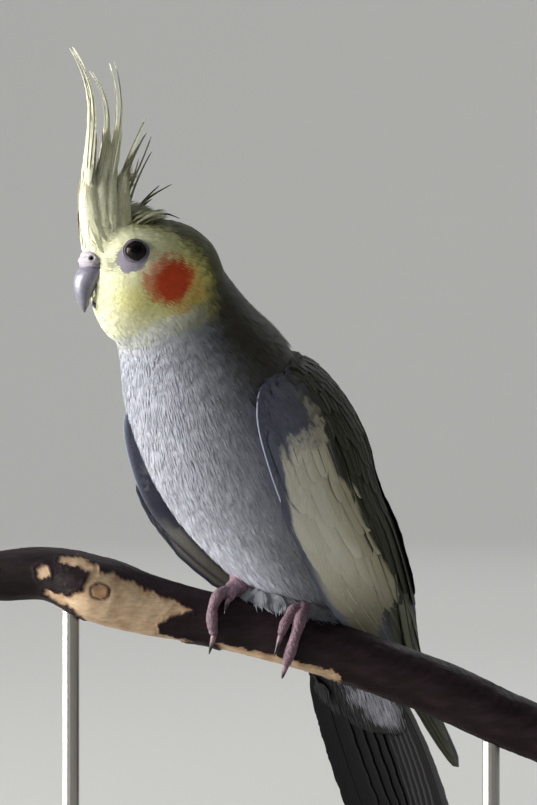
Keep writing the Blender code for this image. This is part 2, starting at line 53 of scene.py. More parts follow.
# Sections of the trunk and the head: x and z of the middle, half breadth, and reach to the back and the front
TRUNK = (
    (-46.0, -14.0, 6.0, 4.0, 5.0),
    (-38.0, -5.0, 13.0, 9.0, 10.0),
    (-27.0, 8.0, 22.5, 16.0, 21.0),
    (-13.0, 25.0, 28.5, 22.0, 27.5),
    (1.0, 44.0, 32.5, 28.0, 33.5),
    (13.0, 62.0, 32.5, 28.5, 35.0),
    (25.0, 79.0, 30.5, 27.5, 31.5),
    (34.5, 93.5, 23.5, 22.0, 26.5),
    (43.0, 105.5, 19.5, 20.0, 23.0),
)
HEAD = (
    (-24.0, -2.0, 7.0, 6.0, 7.0),
    (-20.0, -1.0, 12.5, 10.5, 15.0),
    (-12.0, 0.0, 16.8, 14.6, 22.0),
    (-2.0, 0.0, 18.0, 16.2, 26.0),
    (7.0, 0.0, 16.8, 15.6, 27.0),
    (13.5, 0.0, 13.6, 13.8, 24.5),
    (17.8, -0.5, 8.8, 11.0, 18.5),
    (20.2, -1.0, 3.8, 6.5, 11.5),
)
# The folded wing from bend to tip: x, y and z of its front edge, then of its back edge, and its thickness
WING = (
    (25.0, 30.0, 76.0, -2.0, 12.5, 86.0, 2.4),
    (31.0, 33.5, 70.0, -14.0, 9.5, 81.0, 5.0),
    (33.0, 36.0, 60.0, -28.0, 7.0, 70.0, 6.0),
    (28.5, 37.0, 45.0, -38.0, 6.0, 56.5, 6.0),
    (20.5, 36.5, 30.0, -43.0, 6.0, 41.0, 5.6),
    (7.5, 33.5, 16.0, -52.0, 5.5, 26.0, 5.2),
    (-8.0, 27.5, 3.5, -60.0, 5.0, 11.0, 4.6),
    (-27.0, 19.5, -8.0, -66.0, 5.0, -3.0, 3.8),
    (-43.0, 17.0, -21.5, -68.0, 6.0, -20.0, 2.8),
    (-58.0, 15.5, -35.0, -73.0, 8.0, -35.0, 2.4),
    (-80.0, 14.0, -59.0, -83.0, 12.5, -60.0, 1.6),
)
TAIL_ROOT = np.array((-35.0, 0.0, -9.0))
TAIL_LENGTH = 157.0
# The tail by share of its length: half breadth, height of its arch and thickness
TAIL = (
    (0.00, 9.0, 3.0, 5.0),
    (0.10, 22.0, 5.5, 4.5),
    (0.28, 29.0, 7.5, 3.2),
    (0.45, 29.5, 7.5, 2.6),
    (0.60, 25.0, 6.2, 2.2),
    (0.75, 17.0, 4.0, 1.8),
    (0.88, 9.5, 2.0, 1.4),
    (1.00, 2.0, 0.4, 1.0),
)
# The branch's middle from the grip, as x, z and y, and its radius
BRANCH = (
    (-104.0, 7.2, 2.0, 8.4),
    (-90.0, 8.3, 1.0, 8.7),
    (-73.0, 8.9, 0.0, 9.3),
    (-56.0, 3.4, -1.0, 11.6),
    (-39.0, -2.0, -0.5, 10.6),
    (-21.5, -5.9, 0.0, 9.5),
    (-4.0, -9.9, 0.0, 9.7),
    (13.0, -14.4, 0.0, 9.7),
    (30.5, -19.6, 0.0, 9.7),
    (47.5, -25.6, 0.5, 9.6),
    (65.0, -32.4, 1.0, 9.8),
    (82.0, -40.4, 1.0, 9.6),
    (106.0, -50.5, 1.0, 9.4),
)
KNOT_PLACE = -62.0
KNOT_BULGE = 2.2
KNOT_SPREAD = 13.0
FOOT_PLACES = {"left": 11.3, "right": -11.5}
# A toe's two angles round the branch, its shift along it, its bow on the way and its thickness
TOES = {
    "left": ((4, 136, -0.8, 0.0, 2.1), (0, 85, -5.2, -1.0, 1.9), (-4, -104, 6.0, 0.0, 1.9),
             (-4, -84, -6.5, 0.0, 1.7)),
    "right": ((0, 112, -4.0, -3.9, 2.1), (4, 42, -2.0, 0.0, 1.9), (-4, -104, -6.0, 0.0, 1.9),
              (-4, -84, 6.5, 0.0, 1.7)),
}
GAP = 0.35
EYE_CENTRE = np.array((9.1, 13.0, 4.1))
EYE_RADIUS = 4.4
MOUNDS = (((16.9, 0.0, 10.5), (7.4, 8.0, 12.6)), ((11.0, 0.0, 10.0), (9.5, 8.4, 8.8)))
CERE_CENTRE = np.array((20.2, 0.0, 1.3))
CERE_RADII = np.array((4.2, 6.0, 4.1))
# The upper bill's top edge and cutting edge in the head's frame as x and z, and its half widths
CULMEN = ((20.5, -0.2), (24.2, -1.2), (26.1, -4.8), (26.1, -8.6), (24.9, -12.2), (23.0, -15.8))
TOMIUM = ((14.0, -2.6), (17.2, -5.2), (19.2, -8.0), (20.6, -10.8), (21.2, -13.2), (22.4, -15.9))
BILL_HALF_WIDTHS = (5.4, 5.4, 4.6, 3.6, 2.2, 0.5)
# The lower bill's middle as x and z, and its radius
LOWER_BILL = ((13.5, -11.5, 4.0), (17.0, -12.8, 3.6), (19.4, -13.9, 2.2))

# Camera: level, in front of the grip
CAMERA_DISTANCE = 1300.0
VIEW_HEIGHT = 277.6  # how much of the grip's plane the picture's height spans
VIEW_CENTRE = (2.2, 68.1)  # its middle, right of the grip and above it

COAT_DEPTH = 1.8
# How many places are tried for feathers before the ones too close to another are left out
BODY_TRIES = 90000
COVERT_TRIES = 40000
TAIL_TRIES = 12000
CREST_TRIES = 5200
THIGH_TRIES = 900
PATCH = 0.003  # a feather's share of the coat's unwrap
SHAFT_RADIUS = 0.42
ON_SHAFT = 2.0  # the place across a feather that stands for its shaft; the vane's own run from -1 to 1


def srgb(red, green, blue):
    """A colour given as 0 to 255 display values, as linear light."""
    c = np.array((red, green, blue), float) / 255
    return np.where(c <= 0.04045, c / 12.92, ((c + 0.055) / 1.055) ** 2.4)


def spline(stations, count):
    """Evenly spread rows of the smooth curve through a table of stations."""
    table = np.array(stations, float)
    spans = len(table) - 1
    place = np.linspace(0, spans, count)
    k = np.minimum(place.astype(int), spans - 1)
    t = (place - k)[:, None]
    a, b, c, d = table[np.maximum(k - 1, 0)], table[k], table[k + 1], table[np.minimum(k + 2, spans)]
    slope_b, slope_c, step = (c - a) / 2, (d - b) / 2, c - b
    return b + slope_b * t + (3 * step - 2 * slope_b - slope_c) * t**2 + (slope_b + slope_c - 2 * step) * t**3


def turn_z(points, degrees):
    a = math.radians(degrees)
    x, y, z = np.moveaxis(np.asarray(points, float), -1, 0)
    return np.stack((x * math.cos(a) - y * math.sin(a), x * math.sin(a) + y * math.cos(a), z), -1)


def bird_to_world(points):
    return turn_z(points, -90 - BODY_YAW) + GRIP


def bird_to_world_normals(normals):
    return turn_z(normals, -90 - BODY_YAW)


def world_to_bird(points):
    return turn_z(np.asarray(points) - GRIP, 90 + BODY_YAW)


def head_to_bird(points):
    return turn_z(points, BODY_YAW - HEAD_YAW) + HEAD_CENTRE


def bird_to_head(points):
    return turn_z(points - HEAD_CENTRE, HEAD_YAW - BODY_YAW)


def head_to_world(points):
    return bird_to_world(head_to_bird(points))


def unit(v):
    return v / np.maximum(np.linalg.norm(v, axis=-1, keepdims=True), 1e-9)


def step(low, high, x):
    """0 below low, 1 above high and smooth between."""
    t = np.clip((x - low) / (high - low), 0, 1)
    return t * t * (3 - 2 * t)


def mix(a, b, t):
    return a + (b - a) * np.asarray(t)[..., None]


def bell(x, middle, width):
    """1 at the middle, falling away smoothly on both sides."""
    return np.exp(-(((x - middle) / width) ** 2))


def read_table(x, table):
    """The value at x in a table whose rows begin with a place and its value."""
    return np.interp(x, [row[0] for row in table], [row[1] for row in table])


def turns(count):
    """Angles spread evenly round a circle."""
    return np.linspace(0, 2 * math.pi, count, endpoint=False)


def unit_ball(rows, sides):
    """Rings of points on a ball of radius 1, without its poles."""
    a = np.linspace(0, math.pi, rows + 2)[1:-1, None]
    b = turns(sides)[None]
    return np.stack((np.sin(a) * np.cos(b), np.sin(a) * np.sin(b), np.cos(a) + 0 * b), -1)


def ripple(points, size, seed=0.0):
    """Smooth, unrepeating variation between about -1 and 1, with waves about size mm long."""
    p = np.asarray(points) / size * 2 * math.pi
    x, y, z = p[..., 0] + seed, p[..., 1] + 2 * seed, p[..., 2] - seed
    total = np.sin(x * 0.83 + 1.3 * np.sin(y * 0.71 + 0.9)) + np.sin(y * 1.07 + 1.1 * np.sin(z * 0.93 + seed))
    total += np.sin(z * 0.77 + 1.2 * np.sin(x * 1.13 + 2.1)) + 0.6 * np.sin((x + y - z) * 1.9 + seed)
    return total / 3.0


# Meshes


def make_mesh(name, points, faces, material, colours=None, patches=None, vane=None, normals=None):
    """An object from arrays: points in mm, faces that all have as many corners, a colour per point."""
    mesh = bpy.data.meshes.new(name)
    faces = np.asarray(faces, np.int32)
    count, corners = faces.shape
    mesh.vertices.add(len(points))
    mesh.vertices.foreach_set("co", (np.asarray(points) * MM).astype(np.float32).ravel())
    mesh.loops.add(faces.size)
    mesh.loops.foreach_set("vertex_index", faces.ravel())
    mesh.polygons.add(count)
    mesh.polygons.foreach_set("loop_start", np.arange(0, faces.size, corners, dtype=np.int32))
    if colours is not None:
        layer = mesh.color_attributes.new("tint", "FLOAT_COLOR", "POINT")
        rgba = np.ones((len(points), 4), np.float32)
        rgba[:, :3] = np.clip(colours, 0, 1)
        layer.data.foreach_set("color", rgba.ravel())
    for map_name, places in (("Vane", vane), ("OFBake", patches)):
        if places is not None:
            layer = mesh.uv_layers.new(name=map_name)
            layer.data.foreach_set("uv", places[faces.ravel()].astype(np.float32).ravel())
    mesh.update(calc_edges=True)
    mesh.validate()
    mesh.shade_smooth()
    if normals is not None:
        mesh.normals_split_custom_set_from_vertices(np.asarray(normals, np.float32))
    mesh.materials.append(material)
    made = bpy.data.objects.new(name, mesh)
    bpy.context.scene.collection.objects.link(made)
    return made


def add_piece(made, slot, *nodes):
    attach(made, "root")
    if nodes:
        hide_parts(*nodes)
    return made


def outward(points, faces):
    """Faces turned so that the closed mesh has positive volume."""
    a, b, c = (points[faces[:, i]] for i in range(3))
    volume = np.einsum("ij,ij->i", a, np.cross(b, c)).sum()
    return faces if volume > 0 else faces[:, ::-1]


def tube_mesh(rings):
    """Points and outward triangles of a closed tube through rings of equal size."""
    rings = np.asarray(rings)
    count, sides, _ = rings.shape
    points = np.concatenate((rings.reshape(-1, 3), rings[0].mean(0)[None], rings[-1].mean(0)[None]))
    i, k = np.meshgrid(np.arange(count - 1), np.arange(sides), indexing="ij")
    a, b = i * sides + k, i * sides + (k + 1) % sides
    c, d = b + sides, a + sides
    tris = [np.stack((a, b, c), -1).reshape(-1, 3), np.stack((a, c, d), -1).reshape(-1, 3)]
    k = np.arange(sides)
    start, end = count * sides, count * sides + 1
    tris.append(np.stack((np.full(sides, start), (k + 1) % sides, k), -1))
    last = (count - 1) * sides
    tris.append(np.stack((np.full(sides, end), last + k, last + (k + 1) % sides), -1))
    return points, outward(points, np.concatenate(tris))


def path_rings(path, radii, sides, hint, squash=1.0):
    """Rings square to a path, with each angle's own radius where radii has two dimensions."""
    path = np.asarray(path, float)
    ahead = unit(np.gradient(path, axis=0))
    across = unit(hint - ahead * (ahead @ hint)[:, None])
    up = np.cross(across, ahead)
    angle = turns(sides)[:, None]
    radii = np.broadcast_to(np.asarray(radii).reshape(len(path), -1), (len(path), sides))
    reach = across[:, None] * (np.cos(angle) * squash) + up[:, None] * np.sin(angle)
    return path[:, None] + reach * radii[..., None]


# Feathers: soft ones are fans of narrow pointed strips, and flight feathers are whole vanes with a shaft


def fan_feathers(root, mid, tip, normals, width, lift, colours, patches, strips=9, bend=26.0, fray=0.2,
                 contrast=0.035, parts=3):
    """Soft feathers laid from root over mid to tip, each a fan of strips that have so many parts.

    The arguments up to patches, and bend and contrast where they vary, have one row per feather.
    normals holds the surface's normal at root, mid and tip; lift the height of root and tip above it;
    colours the colour at root and tip; and patches the root's place on the coat's unwrap. bend is the
    radius of the feather's arch and fray how uneven its tip is.
    """
    count = len(root)
    b = np.linspace(-1, 1, strips)[None, :, None]
    jitter = RANDOM.normal(size=(5, count, strips, 1))
    bend = np.reshape(bend, (-1, 1, 1))
    start = 0.10 * np.abs(b)
    end = 1.0 - 0.20 * np.abs(b) ** 2.4 + 0.5 * fray * (jitter[0] * 0.35 - 0.2)
    along = np.linspace(0, 1, parts + 1)[None, None, :]
    t = start + (end - start) * along
    spot = np.stack((2 * t * t - 3 * t + 1, 4 * t - 4 * t * t, 2 * t * t - t), -1)
    slope = np.stack((4 * t - 3, 4 - 8 * t, 4 * t - 1), -1)
    spine = np.stack((root, mid, tip), 1)
    centre = np.einsum("fsta,fac->fstc", spot, spine)
    ahead = unit(np.einsum("fsta,fac->fstc", slope, spine))
    up = unit(np.einsum("fsta,fac->fstc", spot, normals))
    side = unit(np.cross(up, ahead))
    widest = 0.62
    spread = 0.35 + 0.65 * np.sin(np.clip(t / widest, 0, 1) * math.pi / 2)
    spread = spread - 0.16 * np.clip(t - widest, 0, 1) / (1 - widest)
    wide = width[:, None, None]
    lateral = b * spread * wide + 0.05 * wide * jitter[1] * t
    height = lift[:, 0][:, None, None] + (lift[:, 1] - lift[:, 0])[:, None, None] * t
    height = height + 0.02 * wide * jitter[2] * t - lateral**2 / (2 * bend)
    half = wide / strips * 1.45 * (1 - 0.85 * along**2.2)
    roll = 0.07 * jitter[3] + 0.08 * b
    soft = unit(up + side * (lateral / bend * 0.5 + 0.04 * jitter[3])[..., None])
    soft = np.concatenate((soft[:, :, :-1], soft[:, :, :-1], soft[:, :, -1:]), 2)
    edge = side * half[..., None] + up * (half * roll)[..., None]
    middle = centre + side * lateral[..., None] + up * height[..., None]
    left, right = middle - edge, middle + edge
    points = np.concatenate((left[:, :, :-1], right[:, :, :-1], middle[:, :, -1:]), 2)
    per = 2 * parts + 1
    tris = []
    for i in range(parts - 1):
        tris += [(i, parts + i, parts + i + 1), (i, parts + i + 1, i + 1)]
    tris.append((parts - 1, 2 * parts - 1, 2 * parts))
    base = np.arange(count * strips)[:, None, None] * per
    faces = (base + np.array(tris)[None]).reshape(-1, 3)[:, ::-1]
    contrast = np.reshape(contrast, (-1, 1, 1))
    shade = 1 + contrast * (jitter[4] + 0.8 * RANDOM.normal(size=(count, 1, 1)))
    place = np.concatenate((t[:, :, :-1], t[:, :, :-1], t[:, :, -1:]), 2)
    tint = mix(colours[:, None, None, 0], colours[:, None, None, 1], place) * shade[..., None]
    across = np.broadcast_to(b * 0.5, place.shape)
    uv = patches[:, None, None] + PATCH * np.stack((across, place - 0.5), -1)
    return points.reshape(-1, 3), faces, tint.reshape(-1, 3), uv.reshape(-1, 2), soft.reshape(-1, 3)


def vane_feathers(paths, normals, width, colours, patches, rows, columns, droop, point=0.70, ragged=0.02,
                  taper=0.0, rounding=(0.0, 0.0, 0.0)):
    """Whole flight feathers along paths of points.

    droop arches the vane, point is where its tip begins to narrow, taper how much more it does so at once,
    and ragged how uneven its edges are. rounding turns the normals, so that many feathers shade as one
    round bundle.
    """
    made = []
    b = np.linspace(-1, 1, columns)
    for n, path in enumerate(paths):
        t = np.linspace(0, 1, len(path))
        s = np.linspace(0, 1, rows)
        centre = np.stack([np.interp(s, t, path[:, i]) for i in range(3)], -1)
        up = unit(np.stack([np.interp(s, t, normals[n][:, i]) for i in range(3)], -1))
        length = np.linalg.norm(np.diff(centre, axis=0), axis=1).sum()
        ahead = unit(np.gradient(centre, axis=0))
        side = unit(np.cross(up, ahead))
        narrowed = np.clip((s - point) / (1 - point), 0, 1)
        outline = np.clip(s / 0.10, 0, 1) ** 0.5 * np.sqrt(1 - narrowed**2) * (1 - taper * narrowed**0.7)
        notch = 1 + 0.02 * np.sin(s * 61 + n) + ragged * RANDOM.normal(size=rows) * (s > 0.3)
        reach = width[n] * (0.06 + 0.94 * outline * (0.75 + 0.25 * s)) * notch
        offset = b[None] * reach[:, None]
        swept = 0.35 * reach[:, None] * np.abs(b[None]) * (1 - s[:, None] ** 3)
        arch = droop * width[n] * (1 - b[None] ** 2) - 0.25 * droop * width[n]
        points = centre[:, None] + side[:, None] * offset[..., None] + up[:, None] * arch[..., None]
        points = points + ahead[:, None] * swept[..., None] * 0.6
        a = (np.arange(rows - 1)[:, None] * columns + np.arange(columns - 1)).ravel()
        c = a + columns + 1
        tris = np.concatenate((np.stack((a, c, a + 1), -1), np.stack((a, a + columns, c), -1)))
        soft = unit(up[:, None] + side[:, None] * (0.14 * b[None, :, None]) + np.array(rounding))
        tint = colours[n](np.broadcast_to(s[:, None], offset.shape), np.broadcast_to(b[None], offset.shape))
        across = np.broadcast_to(b[None] * width[n], offset.shape)
        along = np.broadcast_to(s[:, None] * length, offset.shape)
        vane = np.stack((across, along), -1) * 0.1
        uv = np.stack((np.broadcast_to(b[None] * 0.5, offset.shape), along / length - 0.5), -1)
        uv = patches[n] + PATCH * uv
        flat = [array.reshape(-1, array.shape[-1]) for array in (points, tint, uv, soft, vane)]
        made.append((flat[0], tris, *flat[1:]))
        # The shaft, which stands out of the vane from about its middle on
        shaft = SHAFT_RADIUS * (1 - 0.85 * s)
        height = arch[:, columns // 2] + 0.05
        ridge = np.stack([centre + side * (x * shaft)[:, None] + up * (height + y * shaft)[:, None]
                          for x, y in ((-1, 0), (0, 0.8), (1, 0), (0, -0.9))], 1)
        ridge = ridge[int(rows * 0.35) : int(rows * 0.97)]
        points, tris = tube_mesh(ridge)
        soft = unit(points - np.concatenate((np.repeat(ridge.mean(1), 4, axis=0), points[-2:] - up[[0, -1]])))
        tint = np.broadcast_to(colours[n](np.array(0.4), np.array(ON_SHAFT)), points.shape)
        uv = np.broadcast_to(patches[n], (len(points), 2))
        made.append((points, tris, tint, uv, soft, np.zeros((len(points), 2))))
    return joined_arrays(made)


def feather_mesh(name, material, points, faces, tint, uv, soft, vane=None):
    """The mesh of feathers that were made in the bird's frame."""
    return make_mesh(name, bird_to_world(points), faces, material, colours=tint, patches=uv, vane=vane,
                     normals=bird_to_world_normals(soft))


def joined_arrays(parts):
    """One set of arrays from several, with the face numbers moved on."""
    moved, start = [], 0
    for part in parts:
        moved.append(part[1] + start)
        start += len(part[0])
    rest = [np.concatenate([part[i] for part in parts]) for i in range(len(parts[0])) if i != 1]
    return (rest[0], np.concatenate(moved), *rest[1:])


# Materials


def new_material(name, **values):
    made = bpy.data.materials.new(name)
    made.use_nodes = True
    shader = made.node_tree.nodes["Principled BSDF"]
    for key, value in values.items():
        shader.inputs[key.replace("_", " ")].default_value = value
    return made, made.node_tree, shader


def add_node(tree, kind, settings=None, **inputs):
    node = tree.nodes.new("ShaderNode" + kind)
    for key, value in (settings or {}).items():
        setattr(node, key, value)
    for key, value in inputs.items():
        socket = node.inputs[int(key[1:]) if key[1:].isdigit() else key.replace("_", " ")]
        if isinstance(value, bpy.types.NodeSocket):
            tree.links.new(value, socket)
        else:
            socket.default_value = value
    return node


def maths(tree, operation, a, b=0.0):
    return add_node(tree, "Math", {"operation": operation}, i0=a, i1=b).outputs[0]


def object_place(tree):
    return add_node(tree, "TexCoord").outputs["Object"]


def stretched_place(tree, scale):
    return add_node(tree, "Mapping", None, Vector=object_place(tree), Scale=scale).outputs[0]


def vary_paint(tree, shader, factor):
    """Base colour: the one painted on the points times a number that varies over the surface."""
    tint = add_node(tree, "Attribute", {"attribute_name": "tint"}).outputs["Color"]
    node = add_node(tree, "VectorMath", {"operation": "SCALE"}, i0=tint, Scale=factor)
    tree.links.new(node.outputs[0], shader.inputs["Base Color"])


def vary_paint_twice(tree, shader, fine, low, high, broad, wide):
    """Base colour varied by a fine noise from low to high and by a broad one by so much either way."""
    factor = maths(tree, "ADD", spread(tree, fine, low, high), spread(tree, broad, -wide, wide))
    vary_paint(tree, shader, factor)


def between(tree, value, low, high, start=0.0, end=1.0):
    return add_node(tree, "MapRange", None, Value=value, From_Min=low, From_Max=high, To_Min=start,
                    To_Max=end).outputs[0]


def spread(tree, value, start, end):
    """A noise's middle values, spread from start to end."""
    return between(tree, value, 0.3, 0.7, start, end)


def noise(tree, vector, scale, detail=3.0, roughness=0.5):
    node = add_node(tree, "TexNoise", None, Vector=vector, Scale=scale, Detail=detail, Roughness=roughness)
    return node.outputs[0]


def bump(tree, shader, height, distance, strength=1.0):
    node = add_node(tree, "Bump", None, Height=height, Distance=distance, Strength=strength)
    tree.links.new(node.outputs[0], shader.inputs["Normal"])


def plumage_material(name, roughness=0.72, streak=0.10, sheen=0.2):
    """Soft feathers: the colour painted on the points, with fine darker and lighter barbs."""
    made, tree, shader = new_material(name, Roughness=roughness, Specular_IOR_Level=0.25, Sheen_Weight=sheen,
                                      Sheen_Roughness=0.6)
    place = object_place(tree)
    grain = noise(tree, place, 900.0, 2.0)
    vary_paint_twice(tree, shader, grain, 1 - streak, 1 + streak * 0.6, noise(tree, place, 120.0, 2.0), 0.04)
    bump(tree, shader, grain, 0.0001, 0.25)
    return made


def vane_material(name, roughness=0.6, specular=0.2):
    """Flight feathers: barbs that slant from the shaft to the edge, in colour and in height."""
    made, tree, shader = new_material(name, Roughness=roughness, Specular_IOR_Level=specular,
                                      Sheen_Weight=0.02, Sheen_Roughness=0.5)
    vane = add_node(tree, "UVMap", {"uv_map": "Vane"}).outputs["UV"]
    across, along, _ = add_node(tree, "SeparateXYZ", None, Vector=vane).outputs
    slant = maths(tree, "MULTIPLY", maths(tree, "ABSOLUTE", across), 1.1)
    barb = maths(tree, "SUBTRACT", along, slant)
    slanted = add_node(tree, "CombineXYZ", None, X=barb, Y=maths(tree, "MULTIPLY", across, 0.12)).outputs[0]
    lines = noise(tree, slanted, 26.0, 3.0, 0.6)
    vary_paint(tree, shader, spread(tree, lines, 0.88, 1.08))
    bump(tree, shader, lines, 0.0003, 0.5)
    return made


# Camera, light and stage

FLOOR_RADIUS = 5200.0
SWEEP_RADIUS = 2600.0
WALL_HEIGHT = 6000.0


def make_camera():
    data = bpy.data.cameras.new("camera")
    data.sensor_width = 36.0
    data.lens = 36.0 * CAMERA_DISTANCE / VIEW_HEIGHT
    data.clip_end = 50.0
    camera = bpy.data.objects.new("camera", data)
    place = GRIP + np.array((VIEW_CENTRE[0], -CAMERA_DISTANCE, VIEW_CENTRE[1]))
    camera.location = Vector(place * MM)
    camera.rotation_euler = (math.pi / 2, 0, 0)
    bpy.context.scene.collection.objects.link(camera)
    bpy.context.scene.camera = camera


def make_light(name, place, size, energy, colour, target=(0.0, -0.02, 0.23)):
    data = bpy.data.lights.new(name, "AREA")
    data.size = size
    data.energy = energy
    data.color = colour
    light = bpy.data.objects.new(name, data)
    light.location = place
    light.rotation_euler = (Vector(target) - Vector(place)).to_track_quat("-Z", "Y").to_euler()
    light.visible_camera = False
    bpy.context.scene.collection.objects.link(light)


def make_stage():
    """A pale floor that curves up into a wall far behind, all round."""
    made, tree, shader = new_material("studio_floor", Roughness=0.9, Specular_IOR_Level=0.1)
    shader.inputs["Base Color"].default_value = (0.62, 0.62, 0.60, 1)
    sides = 96
    profile = [(0.0, 0.0), (600.0, 0.0), (2200.0, 0.0), (FLOOR_RADIUS, 0.0)]
    for k in range(1, 13):
        a = math.radians(90 * k / 12)
        profile.append((FLOOR_RADIUS + SWEEP_RADIUS * math.sin(a), SWEEP_RADIUS * (1 - math.cos(a))))
    profile.append((FLOOR_RADIUS + SWEEP_RADIUS, WALL_HEIGHT))
    angle = turns(sides)
    points, faces = [np.zeros((1, 3))], []
    for n, (radius, height) in enumerate(profile[1:]):
        points.append(np.stack((radius * np.cos(angle), radius * np.sin(angle), np.full(sides, height)), -1))
        first, second = 1 + (n - 1) * sides, 1 + n * sides
        for k in range(sides):
            j = (k + 1) % sides
            if n == 0:
                faces.append((0, 1 + k, 1 + j))
            else:
                faces += [(first + k, second + k, second + j), (first + k, second + j, first + j)]
    floor = make_mesh("studio_floor", np.concatenate(points), faces, made)
    world = bpy.data.worlds.new("studio")
    world.use_nodes = True
    background = world.node_tree.nodes["Background"]
    background.inputs["Color"].default_value = (0.93, 0.97, 1.0, 1)
    background.inputs["Strength"].default_value = 0.17
    bpy.context.scene.world = world
    bpy.context.scene.view_settings.view_transform = "Standard"
    make_light("key", (-1.88, -0.26, 0.50), 1.3, 100.0, (1.0, 0.98, 0.95))
    make_light("rim", (0.9, 1.4, 1.3), 1.0, 6.0, (0.95, 0.98, 1.0))
    make_light("backdrop", (0.0, 2.4, 4.4), 3.0, 150.0, (1.0, 1.0, 1.0), (0.0, 6.5, 0.8))


# The body under the feathers


def egg_rings(rows, sides, along_x=False, to_bird=np.asarray):
    """Sections of the trunk or the head, as part.py makes them, in the bird's frame."""
    centre = np.stack((rows[:, 0], np.zeros(len(rows)), rows[:, 1]), -1)
    ahead = unit(np.gradient(centre, axis=0))
    if along_x:
        ahead = np.broadcast_to((1.0, 0, 0), centre.shape)
    dorsal = np.stack((-ahead[:, 2], np.zeros(len(rows)), ahead[:, 0]), -1)
    angle = turns(sides)
    rise = np.cos(angle)
    reach = np.where(rise > 0, rows[:, 3:4], rows[:, 4:5]) * rise
    rings = centre[:, None] + dorsal[:, None] * reach[..., None]
    rings[..., 1] += rows[:, 2:3] * np.sin(angle)
    return to_bird(rings)


class Shell:
    """A smooth closed surface in the bird's frame, with normals and a tree to look places up in."""

    def __init__(self, points, faces):
        self.points, self.faces = points, faces
        corners = points[faces]
        cross = np.cross(corners[:, 1] - corners[:, 0], corners[:, 2] - corners[:, 0])
        self.area = np.linalg.norm(cross, axis=1) / 2
        normals = np.zeros_like(points)
        for i in range(3):
            for axis in range(3):
                normals[:, axis] += np.bincount(faces[:, i], cross[:, axis], len(points))
        self.normals = unit(normals)
        self.tree = BVHTree.FromPolygons(points.tolist(), faces.tolist())

    def nearest(self, places):
        found, numbers = np.empty_like(places), np.empty(len(places), int)
        for i, place in enumerate(places.tolist()):
            hit = self.tree.find_nearest(place)
            found[i], numbers[i] = hit[0], hit[2]
        corners = self.faces[numbers]
        away = np.linalg.norm(self.points[corners] - found[:, None], axis=-1)
        weight = 1 / (away + 1e-3)
        normal = (self.normals[corners] * weight[..., None]).sum(1)
        return found, unit(normal)


def body_shell():
    """Trunk, neck and head as one surface without a seam."""
    parts = [tube_mesh(egg_rings(spline(TRUNK, 70), 72)),
             tube_mesh(egg_rings(spline(HEAD, 50), 64, True, head_to_bird))]
    for centre, radii in MOUNDS:
        parts.append(tube_mesh(head_to_bird(np.array(centre) + unit_ball(22, 32) * np.array(radii))))
    return fused(parts, 0.95, 24)


AXIS = np.concatenate((
    spline(TRUNK, 60)[:, (0, 1)],
    np.stack((np.linspace(45, 66, 20), 108 + 8 * np.sin(np.linspace(0, 1.2, 20))), -1),
))
AXIS_LENGTH = np.concatenate(((0,), np.cumsum(np.linalg.norm(np.diff(AXIS, axis=0), axis=1))))
AXIS_AHEAD = unit(np.gradient(AXIS, axis=0))


def nearest_on_axis(flat):
    """Numbers of the body axis's points that are nearest to places given as x and z."""
    parts = np.array_split(flat, len(flat) // 20000 + 1)
    return np.concatenate([((part[:, None] - AXIS) ** 2).sum(-1).argmin(1) for part in parts])


def body_places(points):
    """How far points of the bird are along its body from the tail, and their angle round it from the back."""
    flat = points[..., (0, 2)].reshape(-1, 2)
    number = nearest_on_axis(flat)
    ahead = AXIS_AHEAD[number]
    away = flat - AXIS[number]
    back = -away[:, 0] * ahead[:, 1] + away[:, 1] * ahead[:, 0]
    side = points[..., 1].reshape(-1)
    shape = points.shape[:-1]
    return AXIS_LENGTH[number].reshape(shape), np.arctan2(side, back).reshape(shape)


def body_patches(points):
    along, angle = body_places(points)
    return np.stack((0.5 + 0.47 * angle / math.pi, 0.03 + 0.94 * along / AXIS_LENGTH[-1]), -1)


# Markings, with some painted light and shade, as colours of light reflected

BARE_SKIN = srgb(138, 132, 146)
BARE_CENTRE = np.array((13.6, 14.6, 2.3))
BARE_RADII = np.array((7.6, 6.8, 5.7))
FACE_PALE = srgb(240, 241, 208)
FACE_YELLOW = srgb(224, 218, 120)
CROWN_OLIVE = srgb(150, 150, 72)
LORE_GREY_AND_SHADE = srgb(84, 85, 70)
CHEEK_RED = srgb(206, 68, 16)
CHEEK_RIM = srgb(222, 132, 56)
GREY_BREAST = srgb(160, 163, 174)
GREY_PALE = srgb(196, 200, 204)
BACK_BROWN = srgb(58, 55, 42)
CROWN_DARK = srgb(84, 84, 40)
# The yellow face's outline, seen from the side: angles in degrees round its middle and how far it reaches
FACE_EDGE = ((92, 19.3), (111, 17.7), (137, 16.8), (164, 18.2), (184, 20.6), (197, 20.8), (212, 18.8),
             (235, 15.4), (262, 15.6), (278, 18.0), (300, 25.0))
FACE_MIDDLE = (3.0, -5.0)
CHEEK_MIDDLE = (-2.7, -5.6)
CHEEK_RADII = (8.7, 7.9)
BILL_ROOT = np.array((20.0, 0.0, -1.0))


